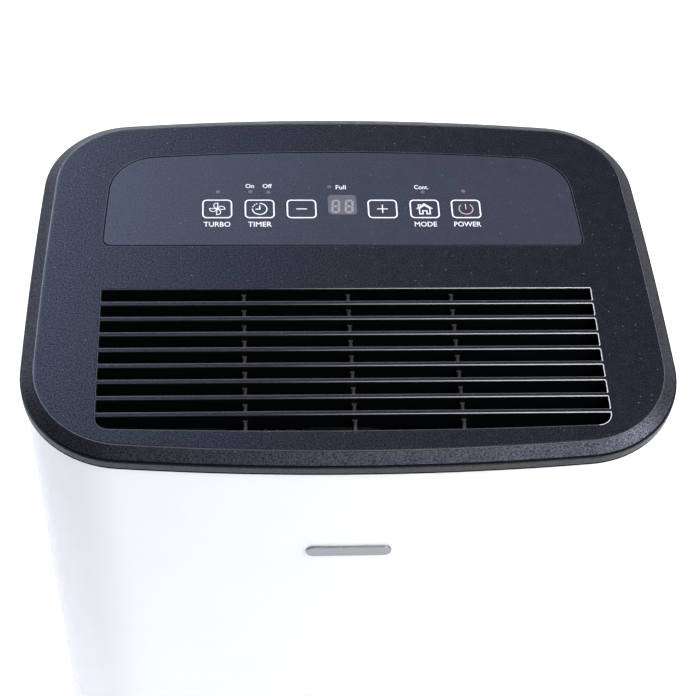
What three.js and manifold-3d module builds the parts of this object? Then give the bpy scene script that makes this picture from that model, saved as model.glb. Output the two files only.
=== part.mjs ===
// A portable compressor dehumidifier, built as the assembly it is: covers, control panel, water bucket,
// intake grille with filter, casters, fan and refrigeration circuit, each piece its own named mesh.
// Millimetres, +Z up, front towards -Y, origin on the floor under the middle of the casing.
import * as THREE from "three";
import { mergeVertices } from "three/addons/utils/BufferGeometryUtils.js";
import Module from "manifold-3d";

const wasm = await Module();
wasm.setup();

// ---------------------------------------------------------------- driving dimensions
const WIDTH = 350;
const DEPTH = 245;
const HEIGHT = 510;
const GAP = 0.4; // between two pieces that meet
const WALL = 2.5; // moulded casing wall

// The rim of the top cover: four long shallow arcs joined by corner arcs.
const FRONT_RADIUS = 1508;
const BACK_RADIUS = 1383;
const SIDE_RADIUS = 2608;
const SIDE_APEX_Y = -100; // where the sides are widest
const FRONT_CORNER = 56.7;
const BACK_CORNER = 49.7;

const BEVEL_REACH = 7.7; // from the rim in to the flat top
const BEVEL_DROP = 4.7;
const LIP_DROP = 11.5; // from the flat top down to the lip's lower edge
const BODY_INSET = 1.7; // the white casing stands this far inside the rim
const INNER_INSET = BODY_INSET + WALL;
const CHASSIS_INSET = INNER_INSET + 0.8;

const BASE_Z = 20; // underside of the base pan
const BODY_TOP_Z = HEIGHT - LIP_DROP - GAP;
const SEAM_Y = 45; // the front and rear covers meet here
const REAR_CUT = [60, DEPTH]; // a hole in the rear wall is cut between these

// Fittings of the casing
const SCREWS = { upper_left: [-108, 478], upper_right: [108, 478], lower_left: [-108, 38], lower_right: [108, 38] };
const SCREW = { hole: 2.4, shank: 2, length: 22, head: 4, headHeight: 2, slot: 0.8, slotSpan: 4.8 };
const VENTS = { x: -62, z: 92, w: 90, h: 6, corner: 2.9, pitch: 13, count: 6 };
const DRAIN = { x: 104, z: 206, y: 93, tube: 9, bore: 6.6, plug: 6, hollow: 4.8, flange: 12 };
const CORD = { x: 70, z: 58, hole: 7.3, barrel: 6.8, flange: 10, bore: 4 };
const HAND = { y0: -46, y1: 34, z0: 396, z1: 424, depth: 24 };
const BADGE = { w: 47, h: 9, corner: 4.4, drop: 91, height: 0.8 };

// Discharge grille
const SLOT_PITCH = 10.33;
const BAR_WIDTH = 2.6;
const BAR_COUNT = 8;
const FIRST_BAR_Y = -19; // the bar furthest back
const GRILLE_HALF = 133.9;
const GRILLE_BACK_Y = -9.5;
const GRILLE_FRONT_Y = -102.4;
const GRILLE_CORNER = 7;
const BAR_DEPTH = 12;
const RIB_X = 57; // the cross ribs stand at -RIB_X, 0 and RIB_X
const RIB_DROP = 5; // top of the ribs, below the flat top

// Control panel
const PANEL_FRONT_Y = 21.3;
const PANEL_SIDE_INSET = 37.3; // from the rim
const PANEL_BACK_INSET = 30.2;
const PANEL_CORNER = 27;
const PANEL_RECESS = 0.8;
const FILM = 0.5;
const BUTTON_Y = 48.3;
const BUTTON = { w: 17.2, d: 14.2, corner: 2.6, travel: 0.8 };
const WINDOW = { x: -0.5, y: 51.6, w: 16.7, d: 15.1, corner: 2 };
const BUTTON_X = { turbo: -71.3, timer: -47.4, minus: -23.7, plus: 22.3, mode: 46.3, power: 70 };

// Bucket
const BUCKET_SIDE_Y = -70; // the bucket front wraps both front corners to here
const BUCKET_TOP_Z = 186;
const BUCKET_BACK_Y = -14;
const TANK = { inset: 10.5, wall: 2.2, z0: 41, z1: 124 };
const LEVEL = { w: 16, z0: 57, z1: 143 };
const GRIP = { half: 48, z0: 156, z1: 178, depth: 18 };
const BAIL = { y: -64, z: 133, reach: 44, half: 68.5, bar: 5, pin: 2 };
const FLOAT = { x: -100, y: -34, z: 116 };

// Casters
const CASTERS = { front_left: [-126, -74], front_right: [126, -74], rear_left: [-124, 68], rear_right: [124, 68] };
const WHEEL = { radius: 12, half: 7.2, trail: 7, sides: 18, bore: 2.4 };
const FORK = { disc: 14, z0: 30.5, z1: 34, stem: 3, head: 4.8, headZ: 37.9, top: 39.6, leg: 2, axle: 2 };
const POCKET = { inner: 24.5, outer: 27, under: 34.5, top: 37.5, stem: 3.5 };
const BASE_SHEET = 3;

// Intake grille and filter
const INTAKE = { half: 118, z0: 240.6, z1: 451.4, slot: 10.4, slotHalf: 34.5, pitch: 16.4, rows: 12, column: 75 };
const FILTER = { half: 113, z0: 247, z1: 447, y0: 106, y1: 109.4, border: 7, cross: 4, seat: 3 };

// Refrigeration circuit and fan
const COIL = { half: 122, z0: 230.4, z1: 438, evaporatorY: [84, 103], condenserY: [57, 79] };
const BEND = { z0: 259, pitch: 31, count: 6, reach: 8 };
const COMPRESSOR = { x: -62, y: 50, r: 46, z0: 38, z1: 206 };
const TRAY = { half: 128, y0: 54, y1: 107, z0: 228, z1: 246, wall: 2 };
const SPOUT = { x: 104, y: -42, r: 7, z0: 150 };
const FAN = { z: 340, y0: -104, y1: -8, start: 80, growth: 14, top: 492, flare: 134 };
const ROTOR = { r: 66, inner: 54, y0: -78, y1: -30, blades: 24, lean: -0.7 };
const MOTOR = { r: 38, depth: 16, boss: 11, ear: 6, earAt: 41 };
const SHAFT = { r: 3.5, y1: -52 };
const PIPE = 3.2; // radius of the suction and discharge pipes
const CAPILLARY = 1.3;

// Electronics
const BOX = { x0: -160, x1: -114, y0: -60, y1: 20, z0: 228, z1: 380, wall: 2 };
const BOARD = 1.6;

// ---------------------------------------------------------------- solids
function toSolid(geometry) {
  const bare = geometry.index ? geometry.clone() : geometry;
  bare.deleteAttribute("normal");
  bare.deleteAttribute("uv");
  const merged = mergeVertices(bare, 1e-4);
  return new wasm.Manifold(
    new wasm.Mesh({
      numProp: 3,
      vertProperties: new Float32Array(merged.attributes.position.array),
      triVerts: new Uint32Array(merged.index.array),
    }),
  );
}

function toGeometry(solid) {
  const mesh = solid.getMesh();
  const geometry = new THREE.BufferGeometry();
  geometry.setAttribute("position", new THREE.BufferAttribute(mesh.vertProperties, mesh.numProp));
  geometry.setIndex(new THREE.BufferAttribute(mesh.triVerts, 1));
  geometry.computeVertexNormals();
  return geometry;
}

const join = (first, ...others) => others.reduce((sum, other) => sum.add(other), first);
const cut = (solid, ...tools) => tools.reduce((left, tool) => left.subtract(tool), solid);

function box([x0, x1], [y0, y1], [z0, z1]) {
  const geometry = new THREE.BoxGeometry(x1 - x0, y1 - y0, z1 - z0);
  geometry.translate((x0 + x1) / 2, (y0 + y1) / 2, (z0 + z1) / 2);
  return toSolid(geometry);
}

// A prism of a plan outline between two heights.
function prism(points, z0, z1) {
  const geometry = new THREE.ExtrudeGeometry(new THREE.Shape(points), { depth: z1 - z0, bevelEnabled: false });
  geometry.translate(0, 0, z0);
  return toSolid(geometry);
}

// A prism of an outline drawn in the XZ plane, between two depths.
function wallPrism(points, y0, y1) {
  const geometry = new THREE.ExtrudeGeometry(new THREE.Shape(points), { depth: y1 - y0, bevelEnabled: false });
  geometry.rotateX(Math.PI / 2);
  geometry.translate(0, y1, 0);
  return toSolid(geometry);
}

// A round bar along X, Y or Z; centre gives the two coordinates across it, in X, Y, Z order.
function bar(axis, radius, [from, to], [u, v], sides = 16) {
  const geometry = new THREE.CylinderGeometry(radius, radius, to - from, sides);
  const middle = (from + to) / 2;
  if (axis === "x") {
    geometry.rotateZ(Math.PI / 2);
    geometry.translate(middle, u, v);
  } else if (axis === "y") {
    geometry.translate(u, middle, v);
  } else {
    geometry.rotateX(Math.PI / 2);
    geometry.translate(u, v, middle);
  }
  return toSolid(geometry);
}

// A turned piece: the profile holds [radius, height] from the bottom up, and stands on Z.
function turned(profile, [x, y], sides = 16) {
  const geometry = new THREE.LatheGeometry(profile.map(([r, z]) => new THREE.Vector2(r, z)), sides);
  geometry.rotateX(Math.PI / 2);
  geometry.translate(x, y, 0);
  return toSolid(geometry);
}

// A tube through points, as one smooth curve.
function pipe(points, radius, steps, sides = 8) {
  const path = new THREE.CatmullRomCurve3(points.map((p) => new THREE.Vector3(...p)), false, "centripetal");
  const section = new THREE.Shape(arc([0, 0], radius, 0, 2 * Math.PI, sides));
  return toSolid(new THREE.ExtrudeGeometry(section, { extrudePath: path, steps, bevelEnabled: false }));
}

// ---------------------------------------------------------------- outlines
// An arc's points; its own end point is left to the next stretch unless it is asked for.
function arc([cx, cy], radius, from, to, steps, withEnd = false) {
  const points = [];
  const count = withEnd ? steps + 1 : steps;
  for (let i = 0; i < count; i++) {
    const a = from + ((to - from) * i) / steps;
    points.push(new THREE.Vector2(cx + radius * Math.cos(a), cy + radius * Math.sin(a)));
  }
  return points;
}

// Where two circles cross, on the side with the larger x.
function meeting([ax, ay], ra, [bx, by], rb) {
  const d = Math.hypot(bx - ax, by - ay);
  const along = (d * d + ra * ra - rb * rb) / (2 * d);
  const across = Math.sqrt(ra * ra - along * along);
  const [ux, uy] = [(bx - ax) / d, (by - ay) / d];
  const candidates = [-across, across].map((s) => [ax + ux * along - uy * s, ay + uy * along + ux * s]);
  return candidates.sort((p, q) => q[0] - p[0])[0];
}

const angleTo = ([ax, ay], [bx, by]) => Math.atan2(by - ay, bx - ax);

// The casing's plan, inset from the rim; anticlockwise from the middle of the front.
function plan(inset, corner = 6, edge = 3) {
  const front = [0, -DEPTH / 2 + FRONT_RADIUS];
  const back = [0, DEPTH / 2 - BACK_RADIUS];
  const side = [WIDTH / 2 - SIDE_RADIUS, SIDE_APEX_Y];
  const frontCorner = meeting(front, FRONT_RADIUS - FRONT_CORNER, side, SIDE_RADIUS - FRONT_CORNER);
  const backCorner = meeting(back, BACK_RADIUS - BACK_CORNER, side, SIDE_RADIUS - BACK_CORNER);
  const a1 = angleTo(front, frontCorner);
  const a2 = angleTo(side, frontCorner);
  const a3 = angleTo(side, backCorner);
  const a4 = angleTo(back, backCorner);
  const half = [
    ...arc(front, FRONT_RADIUS - inset, -Math.PI / 2, a1, edge),
    ...arc(frontCorner, FRONT_CORNER - inset, a1, a2, corner),
    ...arc(side, SIDE_RADIUS - inset, a2, a3, edge),
    ...arc(backCorner, BACK_CORNER - inset, a3, a4, corner),
    ...arc(back, BACK_RADIUS - inset, a4, Math.PI / 2, edge),
  ];
  const topMiddle = new THREE.Vector2(0, DEPTH / 2 - inset);
  const mirrored = half.slice(1).reverse().map((p) => new THREE.Vector2(-p.x, p.y));
  return [...half, topMiddle, ...mirrored];
}

// A solid whose plan shrinks from level to level, closed by flat ends.
function loft(levels) {
  const rings = levels.map(([inset]) => plan(inset));
  const count = rings[0].length;
  const position = rings.flatMap((ring, k) => ring.flatMap((p) => [p.x, p.y, levels[k][1]]));
  const index = [];
  for (let k = 0; k + 1 < rings.length; k++) {
    for (let i = 0; i < count; i++) {
      const j = (i + 1) % count;
      const low = k * count;
      const high = low + count;
      index.push(low + i, low + j, high + j, low + i, high + j, high + i);
    }
  }
  const foot = THREE.ShapeUtils.triangulateShape(rings[0], []);
  const head = THREE.ShapeUtils.triangulateShape(rings.at(-1), []);
  const last = (rings.length - 1) * count;
  foot.forEach(([a, b, c]) => index.push(c, b, a));
  head.forEach((corners) => index.push(...corners.map((i) => last + i)));
  const geometry = new THREE.BufferGeometry();
  geometry.setAttribute("position", new THREE.Float32BufferAttribute(position, 3));
  geometry.setIndex(index);
  return toSolid(geometry);
}

const ring = (outer, inner, z0, z1) => cut(prism(plan(outer), z0, z1), prism(plan(inner), z0 - 1, z1 + 1));

// A rounded rectangle about a middle point, anticlockwise.
function roundRect([cx, cy], w, h, r, steps = 2) {
  const corners = [[1, -1, -90], [1, 1, 0], [-1, 1, 90], [-1, -1, 180]];
  return corners.flatMap(([sx, sy, start]) => {
    const from = THREE.MathUtils.degToRad(start);
    return arc([cx + sx * (w / 2 - r), cy + sy * (h / 2 - r)], r, from, from + Math.PI / 2, steps, true);
  });
}

// The control film's outline: its back follows the rim, its front is straight.
function panelOutline(shrink = 0) {
  const back = [0, DEPTH / 2 - BACK_RADIUS];
  const side = [WIDTH / 2 - SIDE_RADIUS, SIDE_APEX_Y];
  const backRadius = BACK_RADIUS - PANEL_BACK_INSET - shrink;
  const sideRadius = SIDE_RADIUS - PANEL_SIDE_INSET - shrink;
  const corner = PANEL_CORNER - shrink;
  const middle = meeting(back, backRadius - corner, side, sideRadius - corner);
  const low = PANEL_FRONT_Y + shrink;
  const small = 4;
  const sideX = side[0] + Math.sqrt(sideRadius ** 2 - (low + small - side[1]) ** 2);
  const half = [
    ...arc([sideX - small, low + small], small, -Math.PI / 2, 0, 3),
    ...arc(side, sideRadius, Math.asin((low + small - side[1]) / sideRadius), angleTo(side, middle), 3),
    ...arc(middle, corner, angleTo(side, middle), angleTo(back, middle), 6),
    ...arc(back, backRadius, angleTo(back, middle), Math.PI / 2, 3),
  ];
  const topMiddle = new THREE.Vector2(0, DEPTH / 2 - PANEL_BACK_INSET - shrink);
  const mirrored = half.slice().reverse().map((p) => new THREE.Vector2(-p.x, p.y));
  return [...half, topMiddle, ...mirrored];
}

// The grille opening: square at the back, round at the front corners.
function grilleOutline() {
  const r = GRILLE_CORNER;
  const x = GRILLE_HALF;
  const corner = arc([x - r, GRILLE_FRONT_Y + r], r, -Math.PI / 2, 0, 5, true);
  const half = [...corner, new THREE.Vector2(x, GRILLE_BACK_Y)];
  return [...half, ...half.slice().reverse().map((p) => new THREE.Vector2(-p.x, p.y))];
}

// ---------------------------------------------------------------- materials
const paint = (color, roughness, metalness = 0) => new THREE.MeshStandardMaterial({ color, roughness, metalness });
const PAINT = {
  black: paint(0x2b2d38, 0.5),
  film: paint(0x3a3c4a, 0.35),
  lens: paint(0x55545c, 0.2),
  white: paint(0xf1f1f4, 0.3),
  badge: paint(0xa5a8ad, 0.3, 0.9),
  grey: paint(0x8c9096, 0.5),
  chassis: paint(0x55585e, 0.6),
  tank: paint(0xcfd6db, 0.25),
  smoke: paint(0x3c4046, 0.1),
  rubber: paint(0x1c1c1e, 0.8),
  steel: paint(0xb6b8ba, 0.3, 1),
  compressor: paint(0x1a1b1d, 0.4, 0.3),
  copper: paint(0xb8703f, 0.3, 1),
  aluminium: paint(0xb9bcc0, 0.4, 1),
  board: paint(0x1f5a38, 0.5),
  nylon: paint(0x25262a, 0.7),
  foam: paint(0xe9e4d6, 0.9),
};

const model = new THREE.Group();

function add(name, solid, material) {
  const mesh = new THREE.Mesh(toGeometry(solid), material);
  mesh.name = name;
  model.add(mesh);
}

// ---------------------------------------------------------------- top cover and control panel
const screwHole = (at) => bar("y", SCREW.hole, REAR_CUT, at, 10);

const KEY_PLAY = 0.3; // between a button and the hole it moves in

// The holes that the buttons stand in, from a depth up through the top.
const buttonHoles = (depth) =>
  Object.values(BUTTON_X).map((x) => {
    const size = [BUTTON.w + 2 * KEY_PLAY, BUTTON.d + 2 * KEY_PLAY, BUTTON.corner + KEY_PLAY];
    return prism(roundRect([x, BUTTON_Y], ...size), HEIGHT - depth, HEIGHT + 1);
  });

function topCover() {
  const lipZ = HEIGHT - LIP_DROP;
  const shell = cut(
    loft([[0, lipZ], [0, HEIGHT - BEVEL_DROP], [BEVEL_REACH, HEIGHT]]),
    loft([[WALL, lipZ - 1], [WALL, HEIGHT - BEVEL_DROP - WALL / 2], [BEVEL_REACH + WALL, HEIGHT - 3.5]]),
  );
  const flange = ring(INNER_INSET + 0.6, INNER_INSET + 2.6, lipZ - 7, HEIGHT - 3);
  const tabs = [SCREWS.upper_left, SCREWS.upper_right].map(([x, z]) =>
    cut(box([x - 7, x + 7], [106, 113], [z - 8, HEIGHT - 4]), screwHole([x, z])));
  const block = box([-GRILLE_HALF - 3, GRILLE_HALF + 3], [GRILLE_FRONT_Y - 3, GRILLE_BACK_Y + 3],
    [HEIGHT - BAR_DEPTH, HEIGHT - 3]);
  let opening = prism(grilleOutline(), HEIGHT - BAR_DEPTH - 1, HEIGHT + 1);
  for (let i = 0; i < BAR_COUNT; i++) {
    const y = FIRST_BAR_Y - i * SLOT_PITCH;
    const bars = box([-WIDTH, WIDTH], [y - BAR_WIDTH / 2, y + BAR_WIDTH / 2], [HEIGHT - 2 * BAR_DEPTH, HEIGHT + 2]);
    opening = opening.subtract(bars);
  }
  const ribs = [-RIB_X, 0, RIB_X].map((x) =>
    box([x - 1.3, x + 1.3], [GRILLE_FRONT_Y - 1, GRILLE_BACK_Y + 1], [HEIGHT - BAR_DEPTH - 4, HEIGHT - RIB_DROP]),
  );
  const recess = prism(panelOutline(), HEIGHT - PANEL_RECESS, HEIGHT + 1);
  const glass = prism(roundRect([WINDOW.x, WINDOW.y], WINDOW.w - 2, WINDOW.d - 2, 1), HEIGHT - 8, HEIGHT);
  const plate = cut(join(shell, flange, block, ...tabs), opening, recess, glass, ...buttonHoles(8));
  return join(plate, ...ribs);
}

function controlOverlay() {
  const film = prism(panelOutline(GAP), HEIGHT - FILM, HEIGHT);
  const glass = prism(roundRect([WINDOW.x, WINDOW.y], WINDOW.w, WINDOW.d, WINDOW.corner), HEIGHT - 2, HEIGHT + 1);
  return cut(film, glass, ...buttonHoles(2));
}

const displayLens = () =>
  prism(roundRect([WINDOW.x, WINDOW.y], WINDOW.w - 0.6, WINDOW.d - 0.6, WINDOW.corner - 0.3), HEIGHT - FILM, HEIGHT);

function button(x) {
  const centre = [x, BUTTON_Y];
  const pad = prism(roundRect(centre, BUTTON.w, BUTTON.d, BUTTON.corner), HEIGHT - 6, HEIGHT);
  const flange = prism(roundRect(centre, BUTTON.w + 2.4, BUTTON.d + 2.4, BUTTON.corner), HEIGHT - 5.3, HEIGHT - 3.9);
  return join(pad, flange);
}

function displayBoard() {
  const top = HEIGHT - 9.4;
  const board = box([-88, 88], [32, 72], [top - BOARD, top]);
  const module = box([WINDOW.x - 7, WINDOW.x + 7], [45.5, 57.5], [top - 0.2, HEIGHT - 3.8]);
  const switches = Object.values(BUTTON_X).map((x) =>
    box([x - 3, x + 3], [BUTTON_Y - 3, BUTTON_Y + 3], [top - 0.2, HEIGHT - 7.2]),
  );
  return join(board, module, ...switches);
}

add("top_cover", topCover(), PAINT.black);
add("control_overlay", controlOverlay(), PAINT.film);
add("display_lens", displayLens(), PAINT.lens);
add("display_board", displayBoard(), PAINT.board);
Object.entries(BUTTON_X).forEach(([name, x]) => add(`button_${name}`, button(x), PAINT.film));

// ---------------------------------------------------------------- casing
const rearFaceY = (x) => DEPTH / 2 - BODY_INSET - (x * x) / (2 * BACK_RADIUS);

// A finger pocket moulded into a side wall; side is 1 on the right and -1 on the left.
function handPocket(side, grow) {
  const outerX = WIDTH / 2;
  const innerX = outerX - BODY_INSET - HAND.depth;
  const xs = side > 0 ? [innerX - grow, outerX] : [-outerX, -innerX + grow];
  return box(xs, [HAND.y0 - grow, HAND.y1 + grow], [HAND.z0 - grow, HAND.z1 + grow]);
}

function frontCover() {
  const half = box([-WIDTH, WIDTH], [-DEPTH, SEAM_Y - GAP / 2], [BASE_Z, BODY_TOP_Z]);
  const shell = ring(BODY_INSET, INNER_INSET, BASE_Z, BODY_TOP_Z).intersect(half);
  const body = prism(plan(BODY_INSET), BASE_Z, BODY_TOP_Z);
  const pockets = [-1, 1].map((side) => handPocket(side, WALL).intersect(body));
  const hollows = [-1, 1].map((side) => handPocket(side, 0));
  const bucketMouth = box([-WIDTH, WIDTH], [-DEPTH, BUCKET_SIDE_Y + GAP], [0, BUCKET_TOP_Z + GAP]);
  return cut(join(shell, ...pockets), bucketMouth, ...hollows);
}

function rearCover() {
  const half = box([-WIDTH, WIDTH], [SEAM_Y + GAP / 2, DEPTH], [BASE_Z, BODY_TOP_Z]);
  const shell = ring(BODY_INSET, INNER_INSET, BASE_Z, BODY_TOP_Z).intersect(half);
  const window = box([-INTAKE.half - GAP, INTAKE.half + GAP], REAR_CUT, [INTAKE.z0 - GAP, INTAKE.z1 + GAP]);
  const screwHoles = Object.values(SCREWS).map(screwHole);
  const vents = [];
  for (let i = 0; i < VENTS.count; i++) {
    const middle = [VENTS.x, VENTS.z + i * VENTS.pitch];
    vents.push(wallPrism(roundRect(middle, VENTS.w, VENTS.h, VENTS.corner), ...REAR_CUT));
  }
  const drainHole = bar("y", DRAIN.tube + GAP, REAR_CUT, [DRAIN.x, DRAIN.z]);
  const cordHole = bar("y", CORD.hole, REAR_CUT, [CORD.x, CORD.z], 20);
  return cut(shell, window, drainHole, cordHole, ...screwHoles, ...vents);
}

// Head outside the rear cover, shank through it.
function coverScrew([x, z]) {
  const face = rearFaceY(x) + 0.6;
  const head = bar("y", SCREW.head, [face, face + SCREW.headHeight], [x, z], 16);
  const shank = bar("y", SCREW.shank, [face - SCREW.length, face + 0.5], [x, z], 10);
  const [long, short] = [SCREW.slotSpan / 2, SCREW.slot / 2];
  const depth = [face + SCREW.headHeight / 2, face + 2 * SCREW.headHeight];
  const across = box([x - long, x + long], depth, [z - short, z + short]);
  const upright = box([x - short, x + short], depth, [z - long, z + long]);
  return cut(join(head, shank), across, upright);
}

function cordGland() {
  const face = rearFaceY(CORD.x) + 1;
  const flange = bar("y", CORD.flange, [face, face + 2], [CORD.x, CORD.z], 20);
  const barrel = bar("y", CORD.barrel, [face - 12, face + 1], [CORD.x, CORD.z], 20);
  return cut(join(flange, barrel), bar("y", CORD.bore, [face - 20, face + 10], [CORD.x, CORD.z], 16));
}

// A blind tube with a branch down from the drip tray into it.
function drainPort() {
  const tube = bar("y", DRAIN.tube, [DRAIN.y - 9, rearFaceY(DRAIN.x) - 0.6], [DRAIN.x, DRAIN.z], 20);
  const square = (half, top) =>
    box([DRAIN.x - half, DRAIN.x + half], [DRAIN.y - half, DRAIN.y + half], [DRAIN.z, top]);
  const branch = square(6.5, TRAY.z0 - GAP);
  const bore = bar("y", DRAIN.bore, [DRAIN.y - 6, DEPTH], [DRAIN.x, DRAIN.z], 16);
  const branchBore = square(4, TRAY.z0);
  return cut(join(tube, branch), bore, branchBore);
}

function drainCap() {
  const face = rearFaceY(DRAIN.x) + 1.4;
  const plug = bar("y", DRAIN.plug, [face - 12, face + 0.5], [DRAIN.x, DRAIN.z]);
  const flange = bar("y", DRAIN.flange, [face, face + 2.4], [DRAIN.x, DRAIN.z]);
  return cut(join(plug, flange), bar("y", DRAIN.hollow, [face - 20, face + 0.6], [DRAIN.x, DRAIN.z]));
}

const blankBadge = () => {
  const face = -DEPTH / 2 + BODY_INSET - GAP;
  const outline = roundRect([0, HEIGHT - BADGE.drop], BADGE.w, BADGE.h, BADGE.corner, 4);
  return wallPrism(outline, face - BADGE.height, face);
};

add("front_cover", frontCover(), PAINT.white);
add("rear_cover", rearCover(), PAINT.white);
add("blank_badge", blankBadge(), PAINT.badge);
add("drain_port", drainPort(), PAINT.grey);
add("drain_cap", drainCap(), PAINT.rubber);
add("cord_gland", cordGland(), PAINT.rubber);
Object.entries(SCREWS).forEach(([name, at]) => add(`cover_screw_${name}`, coverScrew(at), PAINT.steel));

// ---------------------------------------------------------------- intake grille and filter
function intakeGrille() {
  const area = box([-INTAKE.half, INTAKE.half], REAR_CUT, [INTAKE.z0, INTAKE.z1]);
  const skin = ring(BODY_INSET, INNER_INSET, INTAKE.z0 - 1, INTAKE.z1 + 1).intersect(area);
  const slots = [];
  for (let row = 0; row < INTAKE.rows; row++) {
    const z = INTAKE.z0 + 10 + row * INTAKE.pitch;
    for (const column of [-1, 0, 1]) {
      const x = column * INTAKE.column;
      slots.push(box([x - INTAKE.slotHalf, x + INTAKE.slotHalf], REAR_CUT, [z, z + INTAKE.slot]));
    }
  }
  const notch = box([-16, 16], REAR_CUT, [INTAKE.z1 - 3, INTAKE.z1 + 1]);
  const posts = [-1, 1].flatMap((side) =>
    [INTAKE.z0 + 12, INTAKE.z1 - 12].map((z) =>
      box([side * 111 - 2.5, side * 111 + 2.5], [109.8, 115.2], [z - 3, z + 3])),
  );
  return join(cut(skin, notch, ...slots), ...posts);
}

// A frame of three by two panes, with a seat for the mesh.
function filterFrame() {
  const { half, z0, z1, y0, y1, border, cross, seat } = FILTER;
  const outer = box([-half, half], [y0, y1], [z0, z1]);
  const middle = (z0 + z1) / 2;
  const paneWidth = (2 * half - 2 * border - 2 * cross) / 3;
  const panes = [0, 1, 2].flatMap((column) => {
    const x = -half + border + column * (paneWidth + cross);
    return [[z0 + border, middle - cross / 2], [middle + cross / 2, z1 - border]].map((span) =>
      box([x, x + paneWidth], [y0 - 1, y1 + 1], span));
  });
  const step = box([-half + seat, half - seat], [y0 + 1.2, y1 + 1], [z0 + seat, z1 - seat]);
  return cut(outer, step, ...panes);
}

function filterMesh() {
  const inset = FILTER.seat + GAP;
  return box([-FILTER.half + inset, FILTER.half - inset], [FILTER.y0 + 1.6, FILTER.y0 + 2.4],
    [FILTER.z0 + inset, FILTER.z1 - inset]);
}

add("intake_grille", intakeGrille(), PAINT.white);
add("filter_frame", filterFrame(), PAINT.chassis);
add("filter_mesh", filterMesh(), PAINT.nylon);

// ---------------------------------------------------------------- base and casters
function basePan() {
  const plate = prism(plan(CHASSIS_INSET), BASE_Z, BASE_Z + BASE_SHEET);
  const domes = Object.values(CASTERS).map((at) => bar("z", POCKET.outer, [BASE_Z, POCKET.top], at, 20));
  const hollows = Object.values(CASTERS).map((at) => bar("z", POCKET.inner, [0, POCKET.under], at, 20));
  const stems = Object.values(CASTERS).map((at) => bar("z", POCKET.stem, [0, 60], at, 10));
  const rails = [-92, 92].map((x) => box([x - 2, x + 2], [-108, -18], [BASE_Z + 1, TANK.z0 - GAP]));
  const rib = box([-88, 88], [-8, -5], [BASE_Z + 1, BASE_Z + 11]);
  const lowScrews = [SCREWS.lower_left, SCREWS.lower_right];
  const bosses = lowScrews.map(([x, z]) => box([x - 6, x + 6], [97, 110], [BASE_Z + 1, z + 6]));
  return cut(join(plate, rib, ...rails, ...bosses, ...domes), ...hollows, ...stems, ...lowScrews.map(screwHole));
}

function casterFork([x, y]) {
  const disc = bar("z", FORK.disc, [FORK.z0, FORK.z1], [x, y], 14);
  const stem = bar("z", FORK.stem, [FORK.z1 - 1, FORK.top], [x, y], 10);
  const head = bar("z", FORK.head, [FORK.headZ, FORK.top], [x, y], 10);
  const legX = WHEEL.half + 2 * GAP + FORK.leg / 2;
  const legs = [-1, 1].map((side) => {
    const middle = x + side * legX;
    return box([middle - FORK.leg / 2, middle + FORK.leg / 2], [y - 4, y + WHEEL.trail + 4],
      [WHEEL.radius - 3.5, FORK.z0 + 0.5]);
  });
  const axle = bar("x", FORK.axle, [x - legX, x + legX], [y + WHEEL.trail, WHEEL.radius], 10);
  return join(disc, stem, head, axle, ...legs);
}

function casterWheel([x, y]) {
  const flat = WHEEL.radius / Math.cos(Math.PI / WHEEL.sides); // a facet, not an edge, meets the floor
  const h = WHEEL.half;
  const { bore } = WHEEL;
  const profile = [[bore, -h], [flat - 2, -h], [flat, -h + 2], [flat, h - 2], [flat - 2, h], [bore, h], [bore, -h]];
  const geometry = new THREE.LatheGeometry(profile.map(([r, u]) => new THREE.Vector2(r, u)), WHEEL.sides);
  geometry.rotateY(Math.PI / WHEEL.sides);
  geometry.rotateZ(Math.PI / 2);
  geometry.translate(x, y + WHEEL.trail, WHEEL.radius);
  return toSolid(geometry);
}

add("base_pan", basePan(), PAINT.chassis);
Object.entries(CASTERS).forEach(([name, at]) => {
  add(`caster_fork_${name}`, casterFork(at), PAINT.steel);
  add(`caster_wheel_${name}`, casterWheel(at), PAINT.rubber);
});

// ---------------------------------------------------------------- bucket
const bucketSpace = (z0, z1) => box([-WIDTH, WIDTH], [-DEPTH, BUCKET_BACK_Y], [z0, z1]);

function bucketTank() {
  const outer = prism(plan(TANK.inset), TANK.z0, TANK.z1).intersect(bucketSpace(0, HEIGHT));
  const hollow = prism(plan(TANK.inset + TANK.wall), TANK.z0 + 2.5, TANK.z1 + 1)
    .intersect(box([-WIDTH, WIDTH], [-DEPTH, BUCKET_BACK_Y - TANK.wall], [0, HEIGHT]));
  const frontY = -DEPTH / 2 + CHASSIS_INSET;
  const bosses = [-60, 60].map((x) => box([x - 5, x + 5], [frontY + 1.5, frontY + 8], [60, 110]));
  return cut(join(outer, ...bosses), hollow);
}

function bucketFront() {
  const space = box([-WIDTH, WIDTH], [-DEPTH, BUCKET_SIDE_Y], [0, HEIGHT]);
  const skin = ring(BODY_INSET, CHASSIS_INSET - 0.3, BASE_Z + 1, BUCKET_TOP_Z).intersect(space);
  const face = -DEPTH / 2;
  const back = face + BODY_INSET + GRIP.depth;
  const middle = [0, (GRIP.z0 + GRIP.z1) / 2];
  const height = GRIP.z1 - GRIP.z0;
  const pocket = wallPrism(roundRect(middle, 2 * GRIP.half + 4, height + 4, 10), face + 4.5, back + 2);
  const hollow = wallPrism(roundRect(middle, 2 * GRIP.half, height, 8), face - 5, back);
  const window = wallPrism(levelOutline(0), face - 5, face + 12);
  return cut(join(skin, pocket), hollow, window);
}

function levelOutline(shrink) {
  const height = LEVEL.z1 - LEVEL.z0 - 2 * shrink;
  const width = LEVEL.w - 2 * shrink;
  return roundRect([0, (LEVEL.z0 + LEVEL.z1) / 2], width, height, width / 2 - 0.2, 5);
}

function levelWindow() {
  const face = -DEPTH / 2 + BODY_INSET;
  return wallPrism(levelOutline(GAP), face + 0.3, face + 2.8);
}

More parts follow.
